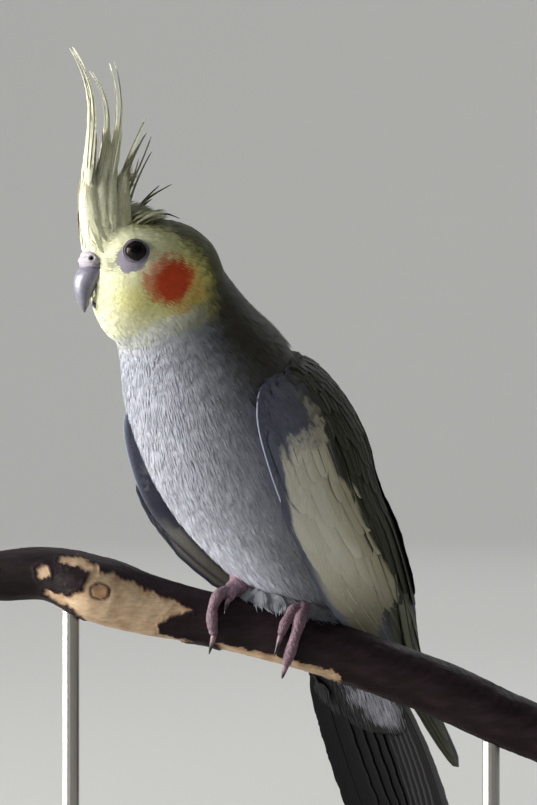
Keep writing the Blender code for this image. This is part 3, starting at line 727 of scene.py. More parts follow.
def body_colour(points):
    """The plumage's colour at points of the head, neck and trunk, in the bird's frame."""
    along, angle = body_places(points)
    round_back = np.abs(angle) / math.pi
    h = bird_to_head(points)
    hx, hy, hz = h[..., 0], h[..., 1], h[..., 2]
    wobble = ripple(points, 9.0)
    # Grey below and dark brown on the back, with a soft edge on the flank
    edge = 0.42 + 0.15 * step(80, 114, along) - 0.05 * step(146, 160, along) + 0.02 * wobble
    back = mix(BACK_BROWN, CROWN_DARK, step(138, 158, along))
    # The grey is painted darker up the flanks as painted shade, and lighter low on the belly's middle as
    # painted light
    low = step(85, 45, along)
    shaded = step(0.52, 0.84, round_back - 0.13 * low)
    flank = GREY_BREAST * ((0.38 + 0.62 * shaded) * (1 + 0.75 * low * shaded**3))[..., None]
    colour = mix(back, flank, step(edge - 0.10, edge + 0.12, round_back))
    colour = colour * (1 + 0.10 * ripple(points, 5.0, 2.0) * step(0.3, 0.7, round_back))[..., None]
    # The yellow face, with a paler rim below it
    a = np.degrees(np.arctan2(hz - FACE_MIDDLE[1], hx - FACE_MIDDLE[0])) % 360
    reach = np.hypot(hx - FACE_MIDDLE[0], hz - FACE_MIDDLE[1])
    open_in_front = (a < FACE_EDGE[0][0]) | (a > FACE_EDGE[-1][0])
    limit = np.where(open_in_front, 60.0, read_table(a, FACE_EDGE))
    beyond = reach - limit + 1.3 * ripple(points, 4.5, 5.0)
    on_head = step(-34, -26, hz) * step(-26, -20, hx)
    rim = bell(beyond, 2.0, 3.4) * on_head * step(0.5, 0.68, round_back)
    colour = mix(colour, GREY_PALE, 0.8 * rim)
    behind = step(10, -16, hx + 0.25 * hz)
    lower = bell(hx, 9.0, 6.5) * bell(hz, -12.0, 6.0)
    face = mix(FACE_PALE, FACE_YELLOW, np.clip(0.12 + 0.88 * behind + 0.65 * lower, 0, 1))
    face = mix(face, CROWN_OLIVE, 0.8 * step(7, 13, hz - 0.2 * hx) * step(15, 6, hx))
    # The lore beside the bill: grey, and painted much darker still as the shade of its hollow
    lore = bell(hx, 17.0, 3.0) * bell(hz, -0.2, 2.0) * step(4.0, 6.5, np.abs(hy))
    face = mix(face, LORE_GREY_AND_SHADE, 0.95 * lore)
    face = mix(face, FACE_PALE, 0.6 * step(-14, -22, hz))
    colour = mix(colour, face, step(1.6, -1.6, beyond) * on_head)
    # The orange cheek
    away = np.hypot((hx - CHEEK_MIDDLE[0]) / CHEEK_RADII[0], (hz - CHEEK_MIDDLE[1]) / CHEEK_RADII[1])
    away = away + 0.05 * ripple(points, 3.0, 9.0)
    colour = mix(colour, CHEEK_RIM, step(1.12, 0.96, away) * on_head * 0.8)
    return mix(colour, CHEEK_RED, step(1.04, 0.88, away) * on_head)


def from_face(head_points, middle=(0.0, 0.0, -3.0)):
    return np.linalg.norm(head_points - np.array(middle), axis=1)


def body_flow(points, normals):
    """Which way the feathers lie: away from the bill over the head, then along the body to the tail."""
    ahead = AXIS_AHEAD[nearest_on_axis(points[:, (0, 2)])]
    tailward = np.stack((-ahead[:, 0], np.zeros(len(points)), -ahead[:, 1]), -1)
    from_bill = unit(points - head_to_bird(BILL_ROOT))
    from_bill[:, 2] -= 0.25
    on_head = step(25, 15, from_face(bird_to_head(points)))
    flow = from_bill * on_head[:, None] + tailward * (1 - on_head)[:, None]
    flow = flow + 0.10 * np.stack([ripple(points, 11.0, s) for s in (1.0, 3.0, 6.0)], -1)
    return unit(flow - normals * (flow * normals).sum(1, keepdims=True))


def feather_sizes(points):
    """Length of the feathers at points of the body."""
    h = bird_to_head(points)
    small = 2.6 + 0.11 * np.linalg.norm(h - BILL_ROOT, axis=1)
    along, _ = body_places(points)
    large = 9.6 + 3.2 * step(80, 30, along) + 1.5 * step(35, 15, along) - 2.8 * step(115, 150, along)
    on_head = step(28, 16, from_face(h))
    return small * on_head + large * (1 - on_head)


def scattered(points, spacing):
    """Numbers of the points kept so that no two stand closer than the spacing."""
    cell = 1.6
    grid, kept = {}, []
    keys = np.floor(points / cell).astype(int).tolist()
    for n, (x, y, z) in enumerate(points.tolist()):
        limit = float(spacing[n]) ** 2
        reach = math.ceil(spacing[n] / cell)
        i, j, k = keys[n]
        span = range(-reach, reach + 1)
        cells = (grid.get((i + a, j + b, k + c), ()) for a in span for b in span for c in span)
        near = (place for cell_places in cells for place in cell_places)
        if not any((p[0] - x) ** 2 + (p[1] - y) ** 2 + (p[2] - z) ** 2 < limit for p in near):
            grid.setdefault((i, j, k), []).append((x, y, z))
            kept.append(n)
    return np.array(kept)


def make_skin(shell):
    face = bird_to_head(shell.points)
    on_head = step(26, 16, from_face(face, (4.0, 0.0, -3.0)))
    bare = step(1.25, 0.9, eye_reach(face))
    front = step(1.3, 0.9, front_reach(face))
    depth = COAT_DEPTH * (1 - 0.78 * on_head) * (1 - 0.6 * bare) + 1.0 * front
    inner = shell.points - shell.normals * depth[:, None]
    colour = mix(body_colour(shell.points) * (0.85 + 0.1 * on_head)[:, None], BARE_SKIN, bare)
    skin = make_mesh("skin", bird_to_world(inner), shell.faces, plumage_material("down"), colours=colour)
    add_piece(skin, "grey_plumage", "head", "neck", "trunk")


def make_body_coat(shell):
    """Contour feathers over the head, neck and trunk, smallest on the face."""
    share = shell.area / shell.area.sum()
    number = RANDOM.choice(len(share), BODY_TRIES, p=share)
    split = np.sort(RANDOM.random((len(number), 2)), axis=1)
    weights = np.stack((split[:, 0], split[:, 1] - split[:, 0], 1 - split[:, 1]), -1)
    roots = (shell.points[shell.faces[number]] * weights[..., None]).sum(1)
    length = feather_sizes(roots)
    bare = bare_places(roots)
    roots, length = roots[~bare], length[~bare]
    kept = scattered(roots, 0.25 * length)
    roots, length = roots[kept], length[kept] * RANDOM.uniform(0.88, 1.12, len(kept))
    root, normal_0 = shell.nearest(roots)
    flow_0 = body_flow(root, normal_0)
    mid, normal_1 = shell.nearest(root + flow_0 * (length / 2)[:, None])
    flow_1 = body_flow(mid, normal_1)
    tip, normal_2 = shell.nearest(mid + flow_1 * (length / 2)[:, None])
    normals = np.stack((normal_0, normal_1, normal_2), 1)
    kept = ~(under_wing(root, 3.0) & under_wing(mid, 3.0))
    root, mid, tip, length, normals = [values[kept] for values in (root, mid, tip, length, normals)]
    depth = COAT_DEPTH * np.clip(length / 8.0, 0.35, 1.0)
    tucked = under_wing(tip, 1.0)
    height = np.where(tucked, -0.7 * depth, depth * 0.12 * RANDOM.uniform(0.6, 1.4, len(root)))
    flat = step(9.0, 5.0, length)
    lift = np.stack((-depth * (0.9 - 0.65 * flat), height * (1 - 0.7 * flat)), -1)
    colours = np.stack((body_colour(root) * 0.94, body_colour(tip) * 1.02), 1)
    width = (0.34 + 0.06 * flat) * length
    contrast = 0.035 - 0.02 * flat
    patches = body_patches(root)
    order = np.argsort(body_places(root)[0])
    material = plumage_material("body_feathers")
    for n, batch in enumerate(np.array_split(order, 5)):
        rows = [values[batch] for values in (root, mid, tip, normals, width, lift, colours, patches)]
        coat = feather_mesh(f"body_feathers_{n}", material, *fan_feathers(*rows, contrast=contrast[batch]))
        add_piece(coat, "grey_plumage")


def under_wing(points, margin):
    """Which points of the body a folded wing covers, by more than the margin."""
    covered = np.zeros(len(points), bool)
    for side in (1, -1):
        near = points[:, 1] * side > 0
        u, v, away = wing_places(points[near], side)
        edge = margin / read_table(v, WING_BREADTHS)
        covered[near] |= (u > edge) & (u < 1 - edge * 2) & (v > margin / WING_LENGTH) & (away < 7.0)
    return covered


def eye_reach(head_points):
    """How far a point of the head is from the eye's bare skin, which ends at 1."""
    mirrored = np.stack((head_points[:, 0], np.abs(head_points[:, 1]), head_points[:, 2]), -1)
    return np.linalg.norm((mirrored - BARE_CENTRE) / BARE_RADII, axis=1)


def front_reach(head_points):
    """How far a point of the head is from the cere and the bill, which end at 1."""
    cere = np.linalg.norm((head_points - np.array((20.4, 0, 0.6))) / np.array((4.3, 6.1, 3.9)), axis=1)
    bill = np.linalg.norm((head_points - np.array((22.2, 0, -5.0))) / np.array((4.2, 5.7, 7.2)), axis=1)
    return np.minimum(cere, bill)


def bare_places(points):
    """Where no feather grows: the eyes with their lids, the cere and the bill."""
    h = bird_to_head(points)
    return (eye_reach(h) < 1) | (front_reach(h) < 1)


# The folded wings: u runs from the front edge to the back edge and v from the bend to the tip

WING_LINES = spline(WING, 241)
WING_LENGTH = 178.0
# How broad the wing is in mm, at places from the bend to the tip
WING_BREADTHS = ((0.0, 45.0), (0.2, 75.0), (0.6, 60.0), (1.0, 12.0))
# The white field on it: a thin strip near the shoulder that widens at STRIP_END
STRIP_END = 0.25
WHITE_FRONT = ((0.130, 0.215), (0.17, 0.235), (0.20, 0.255), (0.227, 0.266), (STRIP_END - 0.005, 0.265),
               (STRIP_END + 0.002, 0.085), (0.27, 0.062), (0.30, 0.042), (0.343, 0.024), (0.39, 0.0),
               (0.42, -0.05), (0.84, -0.1))
WHITE_BACK = ((0.130, 0.225), (0.17, 0.272), (0.20, 0.30), (0.227, 0.315), (0.263, 0.305), (0.307, 0.288),
              (0.343, 0.295), (0.36, 0.335), (0.383, 0.37), (0.43, 0.355), (0.473, 0.33), (0.513, 0.34),
              (0.553, 0.375), (0.607, 0.43), (0.65, 0.44), (0.675, 0.30), (0.71, 0.16), (0.74, 0.06),
              (0.84, 0.0))
WING_WHITE = srgb(244, 240, 222)
WING_GREY_AND_SHADE = srgb(190, 183, 154)
WING_KHAKI = srgb(142, 136, 114)
WING_SLATE = srgb(116, 119, 137)
WING_BROWN = srgb(51, 50, 34)
WING_EDGE = srgb(112, 116, 132)
PRIMARY_WEB = srgb(124, 126, 108)


def wing_surface(u, v, side):
    u, v = np.broadcast_arrays(np.asarray(u, float), np.asarray(v, float))
    place = np.clip(v, 0, 1.03) * (len(WING_LINES) - 1)
    k = np.minimum(place.astype(int), len(WING_LINES) - 2)
    t = (place - k)[..., None]
    row = WING_LINES[k] * (1 - t) + WING_LINES[k + 1] * t
    turn = u * math.pi / 2
    x = row[..., 0] + (row[..., 3] - row[..., 0]) * np.sin(turn)
    y = side * (row[..., 4] + (row[..., 1] - row[..., 4]) * np.cos(turn))
    z = row[..., 2] + (row[..., 5] - row[..., 2]) * np.sin(turn)
    return np.stack((x, y, z), -1)


def wing_normals(u, v, side):
    small = 0.006
    v = np.clip(v, small, 1 - small)
    du = wing_surface(u + small, v, side) - wing_surface(u - small, v, side)
    dv = wing_surface(u, v + small, side) - wing_surface(u, v - small, side)
    return -side * unit(np.cross(du, dv))


def wing_core(side):
    """The wing under its feathers, as a closed surface."""
    v = np.linspace(0, 0.93, 110)[:, None]
    u = np.linspace(0, 1, 40)[None]
    thick = np.interp(v[:, 0] * (len(WING_LINES) - 1), np.arange(len(WING_LINES)), WING_LINES[:, 6])[:, None]
    full = thick * (0.25 + 0.75 * np.sin(math.pi * u) ** 0.6)
    outer = wing_surface(u, v, side)
    normals = wing_normals(u + 0 * v, v + 0 * u, side)
    turn = u * math.pi / 2
    x = 0.25 * np.cos(turn / 2) * (u > 0) + 0.8 * np.sin(0.8 * turn)
    inward = np.stack((x, -side * np.cos(0.8 * turn), -0.5 * np.sin(0.8 * turn)), -1)
    inner = outer + unit(inward) * full[..., None]
    sunk = np.minimum(1.15, 0.45 * full) * (0.35 + 0.65 * np.clip(v / 0.06, 0, 1))
    outer = outer - normals * sunk[..., None]
    return Shell(*tube_mesh(np.concatenate((outer, inner[:, ::-1]), 1)))


def wing_places(points, side):
    """The u and v of points near a wing's surface, and how far they are from it."""
    u, v = np.meshgrid(np.linspace(0, 1, 61), np.linspace(0, 1, 201), indexing="ij")
    grid = wing_surface(u, v, side).reshape(-1, 3)
    tree = KDTree(len(grid))
    for n, place in enumerate(grid.tolist()):
        tree.insert(place, n)
    tree.balance()
    found = [tree.find(place)[1:] for place in points.tolist()]
    number = np.array([f[0] for f in found])
    return u.ravel()[number], v.ravel()[number], np.array([f[1] for f in found])


def white_share(u, v):
    """How white the wing is at u and v: 0 in the dark parts, 1 in the field, with a narrow soft edge."""
    front, back = read_table(v, WHITE_FRONT), read_table(v, WHITE_BACK)
    first, last = WHITE_FRONT[0][0], WHITE_BACK[-1][0]
    soft = 0.012
    ends = step(first, first + 0.01, v) * step(last, last - 0.02, v)
    return step(front - soft, front + soft, u) * step(back + soft, back - soft, u) * ends


def white_colour(u, v):
    """Cream in front, greyer below, and greyer behind as painted shade where the wing turns from the light.
    """
    pale = mix(WING_WHITE, WING_GREY_AND_SHADE, np.maximum(step(0.42, 0.74, v), step(0.10, 0.34, u)))
    return mix(pale, WING_KHAKI, 0.8 * step(0.52, 0.72, v))


def soft_edge(v):
    """The u up to which small soft feathers cover the wing's front, beyond which whole vanes begin."""
    return np.where(v < STRIP_END, 0.33, np.minimum(read_table(v, WHITE_FRONT) - 0.01, 0.45))


def wing_dark(u, v):
    """The wing's dark colours: slate in front, brown behind, turning halfway to the primaries' web colour
    towards the tip.
    """
    back = step(0.10, 0.38, u + 0.25 * np.clip(0.25 - v, 0, 1))
    dark = mix(WING_SLATE, WING_BROWN, back)
    return mix(dark, PRIMARY_WEB * 0.8, 0.5 * step(0.70, 0.82, v))


def wing_path(u, v, low, high, side, tilt, count=16):
    """A feather's shaft on the wing, and normals: u and v are its ends, low and high its heights there."""
    s = np.linspace(0, 1, count)
    us = u[0] + (u[1] - u[0]) * s
    vs = v[0] + (v[1] - v[0]) * s
    normals = wing_normals(us, vs, side)
    path = wing_surface(us, vs, side) + normals * (low + (high - low) * s)[:, None]
    across = np.cross(normals, unit(np.gradient(path, axis=0)))
    return path, unit(normals + across * tilt * side)


def feather_paint(base, rim, shaft, rim_width=0.18, front_web=None, side=1):
    """Colours of one feather by place: s along it and b across it, which is ON_SHAFT on its shaft."""
    def paint(s, b):
        s, b = np.broadcast_arrays(s, b)
        colour = np.broadcast_to(base, s.shape + (3,))
        if front_web is not None:
            colour = mix(colour, front_web, step(-0.1, 0.25, -b * side))
        near_edge = np.maximum(np.abs(b), s**3 * 1.02)
        colour = mix(colour, rim, step(1 - rim_width, 1.0, near_edge) * (b != ON_SHAFT))
        return mix(colour, shaft, (b == ON_SHAFT) * 1.0)
    return paint


class FeatherBatch:
    """Feathers gathered to make one mesh."""

    def __init__(self):
        self.paths, self.normals, self.widths, self.paints, self.patches = [], [], [], [], []

    def add(self, path, normals, width, paint, patch):
        self.paths.append(path)
        self.normals.append(normals)
        self.widths.append(width)
        self.paints.append(paint)
        self.patches.append(np.array(patch))

    def mesh(self, name, material, **shape):
        return feather_mesh(name, material, *vane_feathers(self.paths, self.normals, self.widths, self.paints,
                                                           self.patches, **shape))


# Rows of feathers on the wing: v of their tips, length, half width, gap and the u they run between
COVERT_ROWS = (
    (0.81, 64.0, 5.0, 5.0, 0.00, 0.16),
    (0.75, 60.0, 5.0, 5.0, 0.01, 0.22),
    (0.685, 56.0, 4.8, 5.2, 0.02, 0.44),
    (0.615, 50.0, 4.6, 5.2, 0.03, 0.80),
    (0.55, 44.0, 4.4, 5.0, 0.04, 1.0),
    (0.485, 38.0, 4.2, 4.8, 0.04, 1.0),
    (0.42, 33.0, 4.0, 4.6, 0.05, 1.0),
    (0.36, 28.0, 3.8, 4.4, 0.06, 1.0),
    (0.305, 24.0, 3.6, 4.0, 0.07, 1.0),
    (0.255, 21.0, 3.4, 3.8, 0.09, 1.0),
    (0.21, 18.0, 3.2, 3.6, 0.12, 1.0),
    (0.168, 16.0, 3.0, 3.4, 0.20, 1.0),
    (0.128, 14.0, 2.9, 3.2, 0.30, 1.0),
    (0.090, 12.0, 2.7, 3.0, 0.35, 1.0),
)
TERTIALS = (
    (0.50, 0.50, 0.30, 0.60, 6.6),
    (0.58, 0.60, 0.28, 0.66, 7.2),
    (0.68, 0.72, 0.26, 0.70, 7.6),
    (0.80, 0.84, 0.22, 0.68, 7.8),
    (0.92, 0.96, 0.20, 0.60, 7.4),
)


def covert_paint(u, v, half, length, side):
    """The colours of a feather whose tip is at u and v, which follow the wing's own markings."""
    vary = 1 + 0.035 * RANDOM.normal()
    breadth = read_table(v, WING_BREADTHS)
    shift = RANDOM.normal() * 0.014

    def paint(s, b):
        s, b = np.broadcast_arrays(s, b)
        shaft = b == ON_SHAFT
        us = u + side * np.where(shaft, 0.0, b) * half / breadth + shift
        vs = v - (1 - s) * length / WING_LENGTH
        dark = wing_dark(us, vs) * np.where(shaft, 0.95, 1.0)[..., None]
        pale = white_colour(us, vs) * np.where(shaft, 0.96, 1.0)[..., None]
        return mix(dark, pale, white_share(us, vs)) * vary
    return paint


def make_wing(side, name):
    core = wing_core(side)
    u, v, _ = wing_places(core.points, side)
    inside = core.normals[:, 1] * side < -0.2
    white = white_colour(u, v) * 0.8
    colour = mix(wing_dark(u, v) * 0.8, white, white_share(u, v))
    under = mix(WING_SLATE * 0.7, white, step(0.06, 0.03, u) * step(0.40, 0.48, v) * step(0.72, 0.66, v))
    colour = np.where(inside[:, None], under, colour)
    colour = mix(colour, WING_EDGE, 0.8 * (u < 0.009) * step(0.05, 0.14, v) * step(0.85, 0.7, v))
    down = plumage_material(f"{name}_down", 0.75, 0.1, 0.03)
    body = make_mesh(f"{name}_core", bird_to_world(core.points), core.faces, down, colours=colour)
    add_piece(body, "wing_plumage", name)
    coverts, quills = FeatherBatch(), FeatherBatch()
    for v_tip, length, half, gap, u_from, u_to in COVERT_ROWS:
        middle = v_tip - length / WING_LENGTH / 2
        arc = wing_surface(np.linspace(u_from, u_to, 30), middle, side)
        count = int(np.linalg.norm(np.diff(arc, axis=0), axis=1).sum() / gap)
        batch = coverts if length < 30 else quills
        for k in range(count + 1):
            u = u_from + (u_to - u_from) * np.clip((k + RANDOM.uniform(-0.3, 0.3)) / count, 0, 1)
            tip = v_tip + RANDOM.normal() * 0.016
            size = RANDOM.uniform(0.92, 1.08)
            if u < soft_edge(tip - 0.05) + 0.03:
                continue
            long, wide = size * length, size * half
            path, normals = wing_path((u, u + RANDOM.normal() * 0.01), (tip - long / WING_LENGTH, tip),
                                      -0.8, 0.12, side, 0.05)
            batch.add(path, normals, wide, covert_paint(u, tip, wide, long, side),
                      (0.05 + 0.9 * u, 0.05 + 0.9 * v_tip - 0.1))
    for n, (u_0, u_1, v_0, v_1, half) in enumerate(TERTIALS):
        path, normals = wing_path((u_0, u_1), (v_0, v_1), -1.0, 0.2 + 0.05 * n, side, 0.04, 24)
        base = WING_BROWN * (0.92 + 0.04 * n)
        paint = feather_paint(base, base * 1.12, base * 0.9, 0.12)
        quills.add(path, normals, half, paint, (0.05 + 0.9 * u_0, 0.5))
    path, normals = wing_path((0.58, 0.40), (0.46, 0.90), -0.6, 0.25, side, 0.05, 24)
    quills.add(path, normals, 5.6, feather_paint(PRIMARY_WEB, WING_BROWN, WING_BROWN, 0.22), (0.6, 0.7))
    # Of the primaries the outermost is lowest, and each next one lies on it and is shorter
    for n in range(9):
        s = n / 8
        path, normals = wing_path((0.10 + 0.25 * s, 0.12 + 0.70 * s), (0.46, 1.02 - 0.20 * s**1.3),
                                  -1.3 + 0.3 * s, -0.9 + 0.9 * s, side, 0.06, 26)
        base = WING_SLATE * 0.6
        paint = feather_paint(base, PRIMARY_WEB, base * 0.6, 0.10, PRIMARY_WEB * 0.55, side)
        quills.add(path, normals, 5.4, paint, (0.1 + 0.08 * n, 0.75))
    vane = vane_material(f"{name}_vanes")
    add_piece(coverts.mesh(f"{name}_coverts", vane, rows=18, columns=7, droop=0.05), "wing_plumage")
    add_piece(quills.mesh(f"{name}_quills", vane, rows=40, columns=9, droop=0.04), "wing_plumage")
    # Small coverts over the shoulder and along the front edge, round to the inner side
    share = core.area / core.area.sum()
    number = RANDOM.choice(len(share), COVERT_TRIES, p=share)
    roots = core.points[core.faces[number]].mean(1) + RANDOM.normal(size=(len(number), 3)) * 0.3
    u, v, _ = wing_places(roots, side)
    wanted = (u < soft_edge(v)) & (v < 0.80) & (u > 0.012) | (v < 0.10) & (u < 0.60)
    roots, u, v = roots[wanted], u[wanted], v[wanted]
    kept = scattered(roots, 1.8 - 0.5 * step(0.10, 0.0, u))
    roots, u, v = roots[kept], u[kept], v[kept]
    rim = step(0.10, 0.0, u)
    length = RANDOM.uniform(5.4, 7.2, len(roots)) * (1 - 0.25 * step(0.3, 0.7, v)) * (1 - 0.35 * rim)
    root, normal_0 = core.nearest(roots)
    flow = wing_surface(u + 0.03, np.clip(v + 0.04, 0, 1), side) - wing_surface(u, v, side)
    flow = unit(flow - normal_0 * (flow * normal_0).sum(1, keepdims=True))
    mid, normal_1 = core.nearest(root + flow * (length / 2)[:, None])
    tip, normal_2 = core.nearest(mid + flow * (length / 2)[:, None])
    height = RANDOM.uniform(1.3, 1.6, len(root)) * (1 - 0.65 * rim) * (0.45 + 0.55 * step(0.0, 0.08, v))
    lift = np.stack((height - 1.0, height), -1)
    vary = (1 + 0.04 * RANDOM.normal(size=len(root)))[:, None]
    tip_v = v + length / WING_LENGTH
    colours = np.stack([mix(wing_dark(u, place) * shade, white_colour(u, place), white_share(u, place)) * vary
                        for place, shade in ((v, 0.92), (tip_v, 1.04))], 1)
    patches = np.stack((0.05 + 0.9 * u, 0.05 + 0.9 * v), -1)
    normals = np.stack((normal_0, normal_1, normal_2), 1)
    fans = fan_feathers(root, mid, tip, normals, (0.34 - 0.1 * rim) * length, lift, colours, patches,
                        bend=26 - 22 * rim)
    soft = plumage_material(f"{name}_soft", 0.72, 0.1, 0.08)
    add_piece(feather_mesh(f"{name}_small_coverts", soft, *fans), "wing_plumage")


# The branch

# Outlines of the peeled places on the branch's front, as X and Z from the grip
PEELED = (
    ((-58.3, 10.7), (-51.4, 10.0), (-44.0, 6.6), (-36.2, 2.1), (-30.0, 0.0), (-23.8, -3.5), (-30.7, -4.8),
     (-36.2, -7.9), (-35.5, -11.0), (-23.8, -14.1), (-36.0, -16.0), (-47.0, -16.0), (-56.0, -12.0),
     (-65.2, -3.0), (-75.5, 2.6), (-74.9, 3.7), (-66.9, 2.1), (-61.0, 3.4), (-60.0, 7.4)),
    ((-70.0, 13.6), (-69.7, 15.4), (-62.8, 15.6), (-56.4, 12.2), (-55.5, 9.4), (-64.5, 12.3)),
    ((-77.6, 10.8), (-75.6, 12.4), (-73.4, 11.4), (-73.0, 9.0), (-75.4, 7.6), (-77.4, 8.6)),
    ((-16.2, -14.6), (-2.5, -17.0), (12.0, -20.6), (25.6, -24.4), (27.0, -28.0), (6.2, -26.0),
     (-14.0, -18.0)),
)
KNOT_CENTRE = (-55.2, 3.6)
KNOT_RADII = (3.6, 3.1)
BARK_DEPTH = 0.45
BARK_DARK = srgb(29, 19, 21)
BARK_PURPLE = srgb(50, 36, 42)
WOOD_PALE = srgb(212, 186, 154)
WOOD_BROWN = srgb(150, 108, 74)


def branch_frame(x):
    """Middle, direction, radius, top and front of the branch at places along X, from the grip."""
    table = spline(BRANCH, 700)
    x = np.atleast_1d(np.asarray(x, float))
    middle = np.stack([np.interp(x, table[:, 0], table[:, i]) for i in (0, 2, 1)], -1)
    slopes = np.gradient(table[:, (0, 2, 1)], axis=0)
    ahead = unit(np.stack([np.interp(x, table[:, 0], slopes[:, i]) for i in range(3)], -1))
    top = unit(np.array((0, 0, 1.0)) - ahead * ahead[:, 2:])
    front = np.cross(top, ahead)
    front = np.where(front[:, 1:2] > 0, -front, front)
    return middle, ahead, np.interp(x, table[:, 0], table[:, 3]), top, front


def round_branch(x, angle, off):
    """Points off mm from the bark, at angles in degrees from the top towards the front."""
    middle, _, radius, top, front = branch_frame(x)
    turn = np.radians(np.asarray(angle, float))[..., None]
    return middle + (top * np.cos(turn) + front * np.sin(turn)) * (radius + off)[..., None]


def outline_distance(places, outline):
    """Distance to a closed outline in a plane, negative inside."""
    x, z = places[..., 0], places[..., 1]
    best = np.full(x.shape, 1e9)
    inside = np.zeros(x.shape, bool)
    corners = np.array(outline)
    for a, b in zip(corners, np.roll(corners, -1, axis=0)):
        along = b - a
        t = np.clip(((x - a[0]) * along[0] + (z - a[1]) * along[1]) / (along @ along), 0, 1)
        best = np.minimum(best, np.hypot(x - a[0] - t * along[0], z - a[1] - t * along[1]))
        crosses = (a[1] > z) != (b[1] > z)
        inside ^= crosses & (x < a[0] + (z - a[1]) / (along[1] + 1e-12) * along[0])
    return np.where(inside, -best, best)


def wood_material():
    """Bark and peeled wood, told apart by the painted mask."""
    made, tree, shader = new_material("branch_bark", Roughness=0.6, Specular_IOR_Level=0.18)
    place = stretched_place(tree, (0.22, 1.0, 1.0))
    fine = noise(tree, place, 900.0, 4.0, 0.6)
    broad = noise(tree, place, 140.0, 3.0)
    vary_paint_twice(tree, shader, fine, 0.82, 1.14, broad, 0.16)
    tree.links.new(spread(tree, broad, 0.48, 0.70), shader.inputs["Roughness"])
    bump(tree, shader, fine, 0.0004, 0.5)
    return made


def make_perch():
    rings_along, sides = 620, 104
    middle, ahead, radius, _, _ = branch_frame(np.linspace(BRANCH[0][0], BRANCH[-1][0], rings_along))
    across = unit(np.array((0, 1.0, 0)) - ahead * ahead[:, 1:2])
    up = np.cross(ahead, across)
    angle = turns(sides)
    bulge = KNOT_BULGE * bell(middle[:, 0], KNOT_PLACE, KNOT_SPREAD)
    reach = radius[:, None] + bulge[:, None] * np.maximum(0, -np.cos(angle)) ** 2
    out = across[:, None] * np.cos(angle)[:, None] + up[:, None] * np.sin(angle)[:, None]
    rings = middle[:, None] + out * reach[..., None]
    # Where the bark is off
    flat = rings[..., (0, 2)]
    shifted = flat + 0.7 * np.stack((ripple(rings, 7.0, 3.0), ripple(rings, 5.0, 8.0)), -1)
    shifted = shifted + 0.25 * np.stack((ripple(rings, 1.9, 1.0), ripple(rings, 1.6, 4.0)), -1)
    away = np.min([outline_distance(shifted, outline) for outline in PEELED], axis=0)
    away = np.where(out[..., 1] > 0.25, 9.0, away)
    bare = step(0.35, -0.35, away)
    lip = bell(away, 0.8, 0.6)
    knot = np.linalg.norm((flat - KNOT_CENTRE) / KNOT_RADII, axis=-1)
    knot = np.where(out[..., 1] > 0, 9.0, knot + 0.08 * ripple(rings, 2.5, 6.0))
    ring_mark = bell(knot, 0.92, 0.16)
    grain = ripple(rings * np.array((0.12, 1, 1)), 1.7, 2.0)
    folds = ripple(rings * np.array((0.30, 1, 1)), 4.5, 7.0)
    height = -BARK_DEPTH * bare + 0.18 * lip * (1 - bare) + (1 - bare) * (0.16 * folds + 0.07 * grain)
    height += bare * (0.10 * ripple(rings, 6.0, 5.0) + 0.04 * grain)
    height -= 0.35 * ring_mark + 0.15 * step(0.8, 0.3, knot)
    warts = np.clip(ripple(rings * np.array((0.5, 1, 1)), 3.1, 11.0) - 0.95, 0, 1)
    rings = rings + out * (height + 1.1 * warts * (1 - bare))[..., None]
    # Colours
    bark = mix(BARK_DARK, BARK_PURPLE, np.clip(0.35 + 0.35 * folds + 0.35 * out[..., 2], 0, 1))
    bark = bark * (0.62 + 0.38 * step(-80, -40, flat[..., 0]))[..., None]
    wood = mix(WOOD_PALE, WOOD_BROWN, np.clip(0.20 + 0.25 * ripple(rings, 8.0, 9.0) + 0.10 * grain, 0, 1))
    wood = mix(wood, WOOD_BROWN * 0.8, 0.55 * bell(np.minimum(away, 0), 0.0, 0.9))
    wood = mix(wood, WOOD_BROWN, 0.65 * step(1.0, 0.6, knot))
    wood = mix(wood, BARK_DARK * 0.7, 0.9 * ring_mark)
    colour = mix(bark, wood, bare)
    # The sawn ends
    shares = np.array((0.985, 0.93, 0.75, 0.5, 0.25))[:, None, None]
    first, last = [middle[end] + (rings[end] - middle[end]) * shares for end in (0, -1)]
    rings = np.concatenate((first[::-1], rings, last))
    pale = np.broadcast_to(WOOD_PALE * 0.85, (len(shares), sides, 3)).copy()
    pale[0] = BARK_DARK
    pale[3] *= 0.85
    colour = np.concatenate((pale[::-1], colour, pale))
    points, faces = tube_mesh(rings)
    colours = np.concatenate((colour.reshape(-1, 3), WOOD_BROWN[None], WOOD_BROWN[None]))
    branch = make_mesh("branch", points + GRIP, faces, wood_material(), colours=colours)
    add_piece(branch, "bark", "perch")


# Feet

FOOT_PINK = srgb(156, 126, 138)
FOOT_GREY_AND_SHADE = srgb(92, 78, 88)
CLAW_DARK = srgb(62, 54, 54)
CLAW_SWEEP = 30.0
CLAW_LIFT = 2.2
SHANK_RADIUS = 2.7
PLATE_HEIGHT = 0.22


